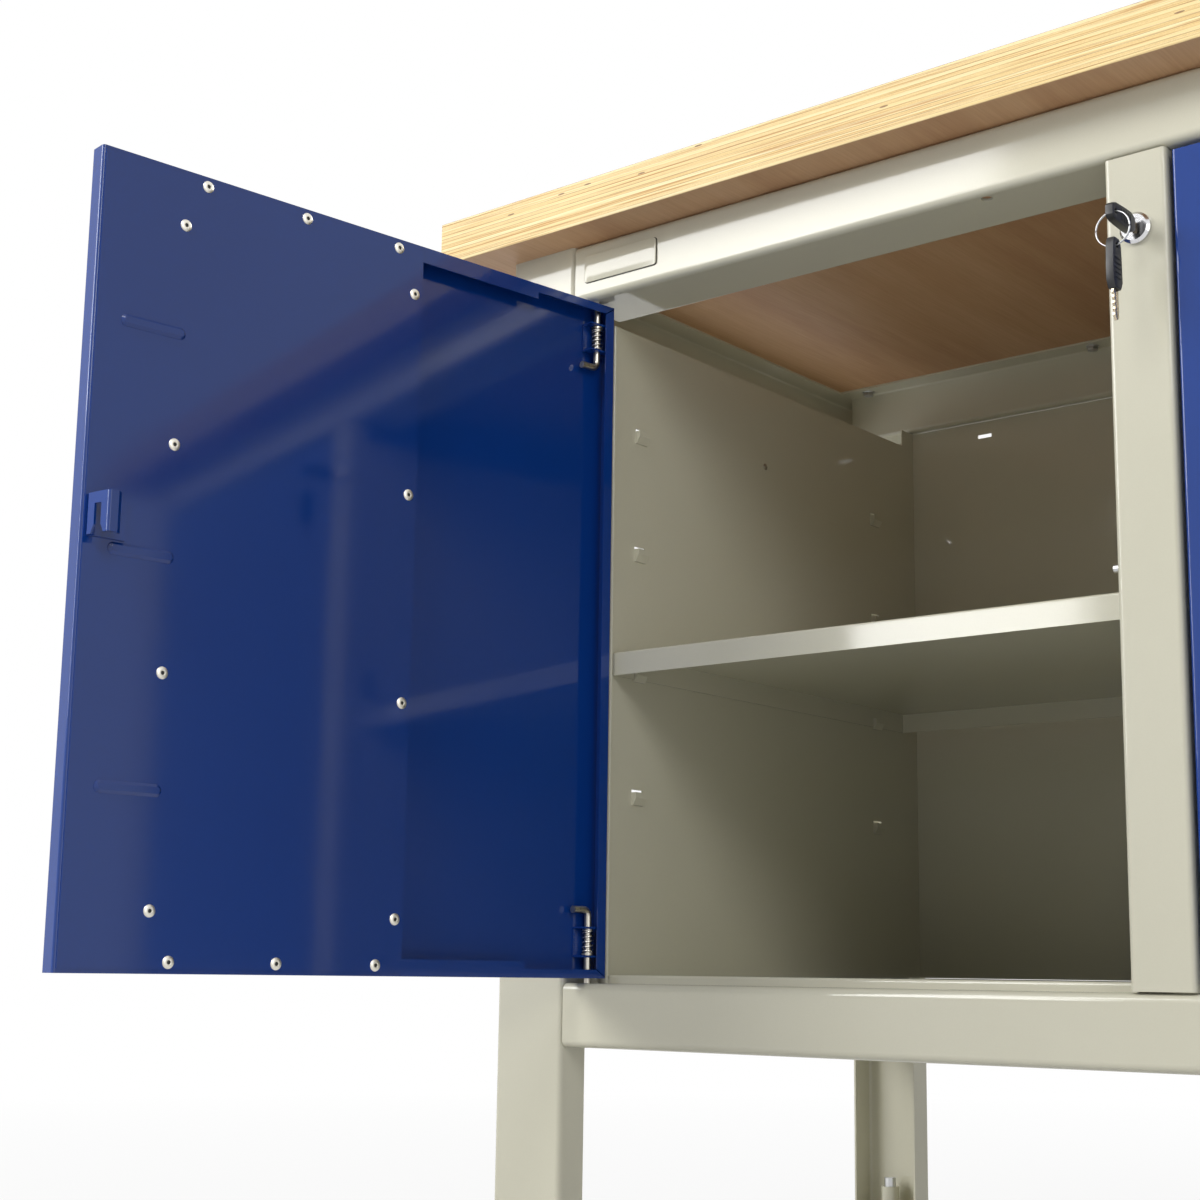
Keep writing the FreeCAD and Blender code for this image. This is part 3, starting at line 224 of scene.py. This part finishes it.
def ply_edge(m, normal):
    """The sawn edge of the board: its colour, its long grain, and where glue lines and knots are sunk."""
    x, y, z = m.split()
    sway = m.drawn((2.2, 2.2, 30.0))
    height = m.math("MULTIPLY_ADD", m.math("SUBTRACT", sway, 0.5), SWAY, z)
    level = m.math("MULTIPLY", m.math("SUBTRACT", height, TOP_LOW), PLIES / (TOP_HIGH - TOP_LOW))
    within = m.math("FRACT", level)
    count = m.math("FLOOR", level)
    on_end = m.math("GREATER_THAN", m.math("ABSOLUTE", normal[0]), ON_END)
    parity = m.math("FLOORED_MODULO", m.math("ADD", count, on_end), 2.0)
    # every second ply shows long grain, the others end grain, each with a tone of its own
    streak = m.drawn((5.0, 5.0, 1100.0), detail=6.0, rough=0.6)
    long_grain = m.ramp(streak, [(0.28, linear(226, 186, 112)), (0.42, linear(242, 220, 162)),
                                 (0.70, linear(248, 234, 190))])
    pores = m.noise(1400.0, detail=2.0)
    end_grain = m.ramp(pores, [(0.25, linear(190, 144, 78)), (0.55, linear(220, 184, 114)),
                               (0.85, linear(234, 206, 142))])
    ply = m.mix(m.math("MULTIPLY_ADD", parity, 0.5, 0.05), long_grain, end_grain)
    tone = m.add("ShaderNodeTexWhiteNoise", noise_dimensions="1D")
    m.link(count, tone.inputs["W"])
    ply = m.mix(m.math("MULTIPLY", tone.outputs["Value"], 0.4), ply, linear(228, 192, 118))
    # glue lines, broken along their length, and long brown streaks
    edge = m.math("ABSOLUTE", m.math("SUBTRACT", within, 0.5))
    line = m.math("MULTIPLY", m.math("SUBTRACT", edge, GLUE_FROM), GLUE_RISE)
    line = m.math("MINIMUM", m.math("MAXIMUM", line, 0.0), 1.0)
    broken = m.drawn((7.0, 7.0, 330.0), detail=4.0, rough=0.65)
    strength = m.ramp(broken, [(0.40, grey(0.05)), (0.58, grey(0.9))])
    ply = m.mix(m.math("MULTIPLY", line, strength), ply, linear(146, 94, 42))
    brown = m.drawn((6.0, 6.0, 620.0), detail=3.0, rough=0.6)
    ply = m.mix(m.ramp(brown, [(0.55, grey(0)), (0.66, grey(0.8))]), ply, linear(188, 134, 62))
    # small dark knots
    cells = m.add("ShaderNodeCombineXYZ")
    m.link(m.math("MULTIPLY", m.math("ADD", x, y), KNOTS_ALONG), cells.inputs["X"])
    m.link(m.math("MULTIPLY", z, KNOTS_UP), cells.inputs["Y"])
    spots = m.add("ShaderNodeTexVoronoi", voronoi_dimensions="2D", distance="EUCLIDEAN")
    m.link(cells.outputs["Vector"], spots.inputs["Vector"])
    spots.inputs["Scale"].default_value = 1.0
    pick = m.split(spots.outputs["Color"])[0]
    knot = m.math("MULTIPLY", m.math("LESS_THAN", spots.outputs["Distance"], KNOT_SIZE),
                  m.math("GREATER_THAN", pick, KNOT_PICK))
    ply = m.mix(m.math("MULTIPLY", knot, 0.8), ply, linear(112, 66, 36))
    # the thin dark edge of the top face's veneer
    rind = m.math("LESS_THAN", m.math("SUBTRACT", TOP_HIGH, z), FACE_VENEER)
    ply = m.mix(m.math("MULTIPLY", rind, 0.9), ply, linear(124, 80, 42))
    return ply, streak, m.math("ADD", knot, line)


def plywood(name):
    """Multi-ply board: pale banded edges with glue lines and knots, and a warm brown face veneer."""
    m = Mat(name, 0.5)
    normal = m.split(m.add("ShaderNodeNewGeometry").outputs["Normal"])
    ply, streak, gaps = ply_edge(m, normal)
    # the two faces, grain running front to back
    figure = m.drawn((14.0, 1.6, 14.0), detail=5.0, rough=0.6)
    fine = m.drawn((620.0, 18.0, 620.0), detail=4.0)
    face = m.ramp(figure, [(0.25, linear(186, 140, 100)), (0.5, linear(208, 166, 124)),
                           (0.78, linear(222, 184, 144))])
    face = m.mix(m.math("MULTIPLY", fine, 0.4), face, linear(148, 104, 72))
    flat = m.math("GREATER_THAN", m.math("ABSOLUTE", normal[2]), ON_FACE)
    m.colour(m.mix(flat, ply, face))
    m.rough(m.math("MULTIPLY_ADD", fine, 0.2, 0.42))
    grain = m.math("ADD", m.math("MULTIPLY", fine, flat),
                   m.math("MULTIPLY", streak, m.math("SUBTRACT", 1.0, flat)))
    sunk = m.math("SUBTRACT", grain, m.math("MULTIPLY", gaps, SUNK))
    m.normal(m.bump(sunk, GRAIN_DEPTH, GRAIN_STRENGTH))
    return m.mat


looks = {
    "plywood": plywood("plywood"),
    "frame_paint": powder_coat("frame_paint", linear(201, 198, 178), linear(204, 201, 182),
                               linear(207, 204, 186), rough=0.09, peel=0.012),
    "door_paint": powder_coat("door_paint", linear(11, 54, 130), linear(13, 57, 135),
                              linear(15, 60, 139), rough=0.075, peel=0.008),
    "zinc": metal("zinc", linear(205, 206, 206), 0.34),
    "rivet": metal("rivet", linear(236, 232, 220), 0.42),
    "pin_steel": metal("pin_steel", linear(196, 192, 182), 0.30, (900.0, 900.0, 40.0)),
    "spring_steel": metal("spring_steel", linear(216, 212, 204), 0.22),
    "lock_chrome": metal("lock_chrome", linear(226, 226, 228), 0.14, (400.0, 60.0, 400.0), 0.06),
    "key_plastic": moulded("key_plastic"),
    "key_metal": metal("key_metal", linear(208, 194, 170), 0.26, (300.0, 300.0, 80.0)),
}
for row in frame["record"]["subparts"]:
    mesh = frame["nodes"][row["node"]].data
    mesh.materials.clear()
    mesh.materials.append(looks[row["material_slot"]])


# Pieces that stand for small CAD nodes, or lie on them

WELD = 1e-7  # vertices of a piece that are this close are one
CAD_WELD = 1e-6


def piece(name, bm, slot, body, replaced=(), smooth=35.0):
    """Turn a bmesh into a piece that rides on a body. Edges over `smooth` degrees are sharp."""
    bmesh.ops.remove_doubles(bm, verts=bm.verts, dist=WELD)
    bmesh.ops.recalc_face_normals(bm, faces=bm.faces)
    mesh = bpy.data.meshes.new(name)
    bm.to_mesh(mesh)
    bm.free()
    mesh.materials.append(looks[slot])
    mesh.shade_smooth()
    mesh.set_sharp_from_angle(angle=math.radians(smooth))
    obj = bpy.data.objects.new(name, mesh)
    scene.collection.objects.link(obj)
    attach(obj, body)
    if replaced:
        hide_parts(*replaced)
    return obj


def lathe(bm, profile, matrix, sides):
    """Turn a profile of (radius, height) about Z and set it in place. Ends on the axis close themselves."""
    rings = []
    for radius, height in profile:
        if radius == 0:
            rings.append([bm.verts.new(matrix @ Vector((0, 0, height)))])
            continue
        ring = []
        for n in range(sides):
            a = TURN * n / sides
            ring.append(bm.verts.new(matrix @ Vector((radius * math.cos(a), radius * math.sin(a), height))))
        rings.append(ring)
    for low, high in zip(rings, rings[1:]):
        for n in range(sides):
            quad = [low[n % len(low)], low[(n + 1) % len(low)],
                    high[(n + 1) % len(high)], high[n % len(high)]]
            corners = list(dict.fromkeys(quad))
            if len(corners) > 2:
                bm.faces.new(corners)


def tube(bm, points, radius, sides):
    """A round wire along points, closed at both ends."""
    rings = []
    last = len(points) - 1
    reference = Vector((0, 0, 1))
    for n, p in enumerate(points):
        along = (points[min(n + 1, last)] - points[max(n - 1, 0)]).normalized()
        side = along.cross(reference)
        if side.length < 0.05:
            side = along.cross(Vector((1, 0, 0)))
        side.normalize()
        up = side.cross(along)
        rings.append([bm.verts.new(p + radius * (side * math.cos(a) + up * math.sin(a)))
                      for a in (TURN * k / sides for k in range(sides))])
    for low, high in zip(rings, rings[1:]):
        for k in range(sides):
            bm.faces.new((low[k], low[(k + 1) % sides], high[(k + 1) % sides], high[k]))
    bm.faces.new(rings[0])
    bm.faces.new(rings[-1])


def islands(node):
    """The points of each separate solid in a node."""
    bm = bmesh.new()
    bm.from_mesh(frame["nodes"][node].data)
    bmesh.ops.remove_doubles(bm, verts=bm.verts, dist=CAD_WELD)
    left = set(bm.verts)
    found = []
    while left:
        seed = left.pop()
        group, stack = [seed], [seed]
        while stack:
            for e in stack.pop().link_edges:
                for v in e.verts:
                    if v in left:
                        left.remove(v)
                        group.append(v)
                        stack.append(v)
        found.append([v.co.copy() for v in group])
    bm.free()
    return found


def middle(points):
    """The middle of the box round some points."""
    low = Vector([min(p[k] for p in points) for k in range(3)])
    high = Vector([max(p[k] for p in points) for k in range(3)])
    return (low + high) / 2


def facing(origin, direction):
    """A matrix that puts local Z along a direction."""
    return Matrix.Translation(origin) @ direction.to_track_quat("Z", "Y").to_matrix().to_4x4()


# Blind rivets: a low domed flange round the stub of the pulled mandrel, the stub made black as painted shade
# for the hole. Profiles are in millimetres.
OPEN = math.radians(98.4)  # how far the left door stands open at rest
RIVET_FACES = {"left": Vector((math.sin(OPEN), math.cos(OPEN), 0)), "right": Vector((0, 1, 0))}
RIVET_FLANGE = [(1.45, 0.2), (1.45, 1.05), (1.7, 1.3), (2.4, 1.35), (3.4, 1.1), (4.2, 0.65), (4.55, 0.25),
                (4.6, 0.0), (4.6, -0.2), (1.45, -0.2), (1.45, 0.2)]
RIVET_SHADE_STUB = [(0, 0.75), (0.7, 0.7), (1.2, 0.5), (1.4, 0.3), (1.4, -0.1), (0, -0.1)]
FLANGE_SIDES, SHADE_STUB_SIDES = 28, 16
for side, away in RIVET_FACES.items():
    node = side + "_door_rivets"
    flanges, shade_stubs = bmesh.new(), bmesh.new()
    for points in islands(node):
        centre = middle(points)
        base = min((p - centre).dot(away) for p in points)
        seat = facing(centre + away * base, away)
        lathe(flanges, RIVET_FLANGE, seat @ MILLI, FLANGE_SIDES)
        lathe(shade_stubs, RIVET_SHADE_STUB, seat @ MILLI, SHADE_STUB_SIDES)
    piece(side + "_rivet_heads", flanges, "rivet", side + "_door", [node], smooth=40)
    # the stubs are real mandrel ends, but made black as painted shade inside the rivet holes
    piece(side + "_rivet_shade_stubs", shade_stubs, "key_plastic", side + "_door", smooth=40)

# Screws up into the worktop: hexagon heads on pressed washers.
WASHER = [(0, 0), (6.6, 0), (6.6, 0.7), (6.1, 1.1), (5.2, 1.2), (0, 1.2)]
HEX_HEAD = [(0, 1.2), (5.7, 1.2), (5.75, 3.9), (5.3, 4.6), (4.4, 4.9), (2.6, 4.9), (2.2, 4.5), (0, 4.5)]
WASHER_SIDES, HEX_SIDES = 36, 6
bm = bmesh.new()
for points in islands("worktop_screws"):
    at = middle(points)
    at.z = max(p.z for p in points)
    down = facing(at, Vector((0, 0, -1)))
    lathe(bm, WASHER, down @ MILLI, WASHER_SIDES)
    lathe(bm, HEX_HEAD, down @ MILLI, HEX_SIDES)
piece("worktop_screw_heads", bm, "zinc", "bench", ["worktop_screws"], smooth=25)

# A small rivet in the hole of each side panel: a spread tail inside, a low flange outside.
PANEL_RIVET = [(0, 1.5), (1.1, 1.4), (2.3, 1.0), (3.0, 0.4), (3.0, -0.1), (2.4, -0.1), (2.4, -1.1),
               (4.2, -1.1), (4.2, -1.4), (3.4, -1.9), (1.8, -2.2), (0, -2.2)]
PANEL_RIVET_IN, PANEL_RIVET_DROP, PANEL_RIVET_SIDES = 230, 78.5, 24
PANEL_FACE = 497.5  # the inner face of a side panel, from the middle of the bench
for side, inward in (("left", 1), ("right", -1)):
    low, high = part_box(side + "_side_panel")
    seat = Vector((-inward * PANEL_FACE * MM, low.y + PANEL_RIVET_IN * MM, high.z - PANEL_RIVET_DROP * MM))
    bm = bmesh.new()
    lathe(bm, PANEL_RIVET, facing(seat, Vector((inward, 0, 0))) @ MILLI, PANEL_RIVET_SIDES)
    piece(side + "_panel_rivet", bm, "pin_steel", "bench", smooth=40)

# Hinge pin springs: round wire with closed end turns.
SPRING_RADIUS, SPRING_WIRE, SPRING_TURNS, SPRING_STEPS = 4.0, 0.85, 6.0, 26
WIRE_SIDES = 10
END_RISE = 0.06  # the share of its length that a spring gains in each end turn
for side in ("left", "right"):
    for level in ("upper", "lower"):
        node = "%s_%s_spring" % (side, level)
        low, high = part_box(node)
        axis = (low + high) / 2
        start, end = low.z + SPRING_WIRE * MM, high.z - SPRING_WIRE * MM
        radius = SPRING_RADIUS * MM
        points = []
        total = int(SPRING_TURNS * SPRING_STEPS)
        flat = 1.0 / SPRING_TURNS
        for n in range(total + 1):
            t = n / total
            a = TURN * SPRING_TURNS * t
            rise = min(max((t - flat) / (1 - 2 * flat), 0.0), 1.0)
            share = (END_RISE * min(t / flat, 1) + (1 - 2 * END_RISE) * rise
                     + END_RISE * max((t - 1 + flat) / flat, 0))
            points.append(Vector((axis.x + radius * math.cos(a), axis.y + radius * math.sin(a),
                                  start + (end - start) * share)))
        bm = bmesh.new()
        tube(bm, points, SPRING_WIRE * MM, WIRE_SIDES)
        obj = piece(node + "_wire", bm, "spring_steel", side + "_door", [node], smooth=60)
        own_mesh(obj)

# Key bows, blades and the split ring. An outline is in millimetres, along the key from the end of its bow.
LOCK_Z = 0.781
HOLE_STEPS = 20
RIM_ANGLE = 1.2  # edges that turn more than this are chamfered
BOW = [(0, -3.4), (1.6, -5.2), (6, -6.6), (22, -7.4), (31, -7.4), (35, -5.6), (37, -4.2),
       (37, 4.2), (35, 5.6), (31, 7.4), (22, 7.4), (6, 6.6), (1.6, 5.2), (0, 3.4)]
BOW_HOLE = (5.5, 0, 1.9)
BOW_THICK, BOW_BEVEL = 6, 1.1
GRIPS = (14, 17.5, 21, 24.5, 28)
GRIP_WIDTH, GRIP_REACH, GRIP_THICK, GRIP_PROUD, GRIP_BEVEL = 1.6, 4.6, 0.7, 0.1, 0.25
BLADE = [(37, -3.8), (39.5, -3.8), (41, -2.2), (42.5, -2.2), (43.8, -3.3), (45, -1.7), (46.6, -1.7),
         (48, -3.0), (49.4, -1.4), (51, -1.4), (52.4, -2.7), (53.6, -2.0), (55.4, -2.0), (59, 0.4),
         (57.6, 3.0), (55.4, 3.8), (37, 3.8)]
BLADE_THICK, BLADE_BEVEL = 2, 0.25
RIB = [(37, 1.2), (55, 1.2), (55, 2.1), (37, 2.1)]
RIB_THICK, RIB_BEVEL = 0.3, 0.1


def slab(bm, outline, thick, matrix, bevel, holes=()):
    """A flat plate from an outline in local XY, with round holes (x, y, radius), chamfered all round."""
    loops = [outline]
    for x, y, r in holes:
        angles = [TURN * k / HOLE_STEPS for k in range(HOLE_STEPS)]
        loops.append([(x + r * math.cos(a), y + r * math.sin(a)) for a in angles])
    edges = []
    for loop in loops:
        verts = [bm.verts.new((x * MM, y * MM, -thick / 2 * MM)) for x, y in loop]
        edges += [bm.edges.new((a, b)) for a, b in zip(verts, verts[1:] + verts[:1])]
    made = bmesh.ops.triangle_fill(bm, edges=edges, use_beauty=True)
    faces = [f for f in made["geom"] if isinstance(f, bmesh.types.BMFace)]
    grown = bmesh.ops.extrude_face_region(bm, geom=faces, use_keep_orig=True)["geom"]
    top = [v for v in grown if isinstance(v, bmesh.types.BMVert)]
    bmesh.ops.translate(bm, verts=top, vec=(0, 0, thick * MM))
    whole = set(top) | {v for f in faces for v in f.verts}
    bmesh.ops.recalc_face_normals(bm, faces=[f for f in bm.faces if all(v in whole for v in f.verts)])
    rims = [e for e in bm.edges if all(v in whole for v in e.verts) and len(e.link_faces) == 2
            and e.calc_face_angle(0) > RIM_ANGLE]
    made = bmesh.ops.bevel(bm, geom=rims, offset=bevel * MM, segments=2, profile=0.6, affect="EDGES",
                           clamp_overlap=True)
    whole |= set(made["verts"])
    bmesh.ops.transform(bm, matrix=matrix, verts=[v for v in whole if v.is_valid])


def key(prefix, matrix, body):
    """A key: a moulded bow with grip bars on both faces, and a cut blade with a rib on both faces."""
    bm = bmesh.new()
    slab(bm, BOW, BOW_THICK, matrix, BOW_BEVEL, [BOW_HOLE])
    for face in (-1, 1):
        lift = Matrix.Translation((0, 0, face * (BOW_THICK / 2 + GRIP_PROUD) * MM))
        for at in GRIPS:
            bar = [(at, -GRIP_REACH), (at + GRIP_WIDTH, -GRIP_REACH), (at + GRIP_WIDTH, GRIP_REACH),
                   (at, GRIP_REACH)]
            slab(bm, bar, GRIP_THICK, matrix @ lift, GRIP_BEVEL)
    piece(prefix + "key_bow_moulding", bm, "key_plastic", body, [prefix + "key_bow"], smooth=30)
    bm = bmesh.new()
    slab(bm, BLADE, BLADE_THICK, matrix, BLADE_BEVEL)
    for face in (-1, 1):
        lift = Matrix.Translation((0, 0, face * BLADE_THICK / 2 * MM))
        slab(bm, RIB, RIB_THICK, matrix @ lift, RIB_BEVEL)
    piece(prefix + "key_blade_cut", bm, "key_metal", body, [prefix + "key_blade"], smooth=25)


# local X runs along the key, local Z through its thickness
low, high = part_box("key_bow")
in_lock = Matrix(((0, 0, 1, 0), (1, 0, 0, low.y), (0, 1, 0, LOCK_Z), (0, 0, 0, 1)))
key("", in_lock, "lock_plug")
low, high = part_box("spare_key_bow")
hanging = Matrix(((0, 0, 1, 0), (0, 1, 0, (low.y + high.y) / 2), (-1, 0, 0, high.z), (0, 0, 0, 1)))
key("spare_", hanging, "spare_key")

RING_RADIUS, RING_WIRE, RING_TURNS, RING_STEPS = 12.5, 0.5, 1.92, 56
RING_START, RING_SPREAD = math.radians(-70), 1.3
low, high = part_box("key_ring")
centre = (low + high) / 2
points = []
total = int(RING_TURNS * RING_STEPS)
for n in range(total + 1):
    t = n / total
    a = RING_START + TURN * RING_TURNS * t
    points.append(centre + mm(RING_RADIUS * math.cos(a), (t - 0.5) * RING_SPREAD, RING_RADIUS * math.sin(a)))
bm = bmesh.new()
tube(bm, points, RING_WIRE * MM, WIRE_SIDES)
piece("split_ring", bm, "zinc", "key_ring", ["key_ring"], smooth=60)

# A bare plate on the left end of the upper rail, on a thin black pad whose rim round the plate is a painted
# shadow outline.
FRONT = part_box("front_upper_rail")[0].y
PLATE_LEFT, PLATE_RIGHT, PLATE_LOW, PLATE_HIGH, PLATE_ROUND = -510, -430, 853, 878, 3
SHADOW_PAD_THICK, PLATE_THICK, PLATE_INSET = 0.5, 1.0, 0.45
CORNER_STEPS = 4


def rounded(left, low, right, high, radius):
    """A rectangle with round corners, as an outline."""
    outline = []
    for cx, cy, start in ((right - radius, high - radius, 0), (left + radius, high - radius, 90),
                          (left + radius, low + radius, 180), (right - radius, low + radius, 270)):
        for step in range(CORNER_STEPS + 1):
            a = math.radians(start + 90 / CORNER_STEPS * step)
            outline.append((cx + radius * math.cos(a), cy + radius * math.sin(a)))
    return outline


# the black pad shows as a thin dark rim round the plate: a painted shadow outline
for name, slot, inset, near, thick in (("plate_shadow_pad", "key_plastic", 0, 0, SHADOW_PAD_THICK),
                                       ("bare_plate", "frame_paint", PLATE_INSET, SHADOW_PAD_THICK, PLATE_THICK)):
    outline = rounded(PLATE_LEFT + inset, PLATE_LOW + inset, PLATE_RIGHT - inset, PLATE_HIGH - inset,
                      PLATE_ROUND)
    on_rail = Matrix(((1, 0, 0, 0), (0, 0, -1, FRONT - (near + thick / 2) * MM), (0, 1, 0, 0), (0, 0, 0, 1)))
    bm = bmesh.new()
    slab(bm, outline, thick, on_rail, thick / 4)
    piece(name, bm, slot, "bench", smooth=30)


# Camera, floor, light

# the camera was fitted to the photo's straight edges, in pixels of its frame
YAW, PITCH, ROLL = math.radians(39.107), math.radians(9.871), math.radians(0.737)
PHOTO, SENSOR = 1200, 36
FOCAL, CENTRE_X, CENTRE_Y = 1929.007, 621.829, 636.778
EYE = Vector((0.5358, -1.3036, 0.2591))
ahead = Vector((-math.sin(YAW) * math.cos(PITCH), math.cos(YAW) * math.cos(PITCH), math.sin(PITCH)))
level = Vector((math.cos(YAW), math.sin(YAW), 0))
upright = level.cross(ahead)
right = level * math.cos(ROLL) + upright * math.sin(ROLL)
up = right.cross(ahead)
lens = bpy.data.cameras.new("camera")
lens.sensor_width = SENSOR
lens.lens = FOCAL / PHOTO * SENSOR
lens.shift_x = (PHOTO / 2 - CENTRE_X) / PHOTO
lens.shift_y = (CENTRE_Y - PHOTO / 2) / PHOTO
lens.clip_start, lens.clip_end = 0.02, 60
camera = bpy.data.objects.new("camera", lens)
scene.collection.objects.link(camera)
camera.matrix_world = Matrix.Translation(EYE) @ Matrix((right, up, -ahead)).transposed().to_4x4()
scene.camera = camera

WHITE = (1, 1, 1, 1)
WORLD_COLOUR, WORLD_STRENGTH = (1.0, 0.985, 0.96, 1), 0.02
FLOOR_HALF, FLOOR_COLOUR, FLOOR_ROUGH = 30, (0.7, 0.7, 0.69, 1), 0.9
FADE = {"From Min": 0.8, "From Max": 3.0, "To Min": 0.86, "To Max": 1.0}  # metres to the share of white


def seen_white(tree, output, lit, kind, share=None):
    """White to the camera and in reflections, or a share of white, and another shader to everything else."""

    def joined(operation, a, b):
        node = tree.nodes.new("ShaderNodeMath")
        node.operation = operation
        tree.links.new(a, node.inputs[0])
        tree.links.new(b, node.inputs[1])
        return node.outputs[0]

    path = tree.nodes.new("ShaderNodeLightPath").outputs
    seen = joined("MAXIMUM", path["Is Camera Ray"], path["Is Glossy Ray"])
    seen = joined("MAXIMUM", seen, path["Is Transmission Ray"])
    if share is not None:
        seen = joined("MULTIPLY", seen, share)
    white = tree.nodes.new(kind)
    white.inputs["Color"].default_value = WHITE
    white.inputs["Strength"].default_value = 1.0
    mix = tree.nodes.new("ShaderNodeMixShader")
    tree.links.new(seen, mix.inputs[0])
    tree.links.new(lit, mix.inputs[1])
    tree.links.new(white.outputs[0], mix.inputs[2])
    tree.links.new(mix.outputs[0], output.inputs["Surface"])


world = bpy.data.worlds.new("studio")
world.use_nodes = True
scene.world = world
tree = world.node_tree
glow = tree.nodes["Background"]
glow.inputs["Color"].default_value = WORLD_COLOUR
glow.inputs["Strength"].default_value = WORLD_STRENGTH
seen_white(tree, tree.nodes["World Output"], glow.outputs[0], "ShaderNodeBackground")

floor_mesh = bpy.data.meshes.new("floor")
floor_mesh.from_pydata([(-FLOOR_HALF, -FLOOR_HALF, 0), (FLOOR_HALF, -FLOOR_HALF, 0),
                        (FLOOR_HALF, FLOOR_HALF, 0), (-FLOOR_HALF, FLOOR_HALF, 0)], [], [(0, 1, 2, 3)])
floor = bpy.data.objects.new("floor", floor_mesh)
scene.collection.objects.link(floor)
pale = bpy.data.materials.new("pale_floor")
pale.use_nodes = True
tree = pale.node_tree
matt = tree.nodes["Principled BSDF"]
matt.inputs["Base Color"].default_value = FLOOR_COLOUR
matt.inputs["Roughness"].default_value = FLOOR_ROUGH
# the shadow shows near the bench, and the floor goes over into the white background further out
where = tree.nodes.new("ShaderNodeNewGeometry")
away = tree.nodes.new("ShaderNodeVectorMath")
away.operation = "LENGTH"
tree.links.new(where.outputs["Position"], away.inputs[0])
fade = tree.nodes.new("ShaderNodeMapRange")
for socket, value in FADE.items():
    fade.inputs[socket].default_value = value
tree.links.new(away.outputs["Value"], fade.inputs["Value"])
seen_white(tree, tree.nodes["Material Output"], matt.outputs[0], "ShaderNodeEmission", fade.outputs["Result"])
floor_mesh.materials.append(pale)


def soft_box(name, at, target, size, power):
    """A rectangular lamp at a place, turned to a target."""
    data = bpy.data.lights.new(name, "AREA")
    data.shape = "RECTANGLE"
    data.size, data.size_y = size
    data.energy = power
    lamp = bpy.data.objects.new(name, data)
    scene.collection.objects.link(lamp)
    lamp.matrix_world = facing(Vector(at), Vector(at) - Vector(target))


soft_box("key_light", (-3.3, -3.5, 3.0), (-0.1, 0, 0.6), (2.6, 2.4), 158)
soft_box("low_key_light", (-2.45, -3.9, 1.35), (-0.1, 0, 0.5), (1.0, 0.9), 26)
soft_box("front_light", (-0.4, -3.4, 3.6), (-0.1, 0, 0.5), (1.6, 1.6), 62)
soft_box("fill_light", (3.2, -1.6, 1.0), (-0.3, 0, 0.5), (2.0, 2.0), 14)
soft_box("side_light", (3.0, -2.6, 2.6), (-0.4, 0, 0.5), (1.5, 1.5), 40)
soft_box("back_light", (0.3, 4.0, 2.6), (0, 0.2, 0.5), (2.4, 2.0), 110)

scene.view_settings.view_transform = "Standard"
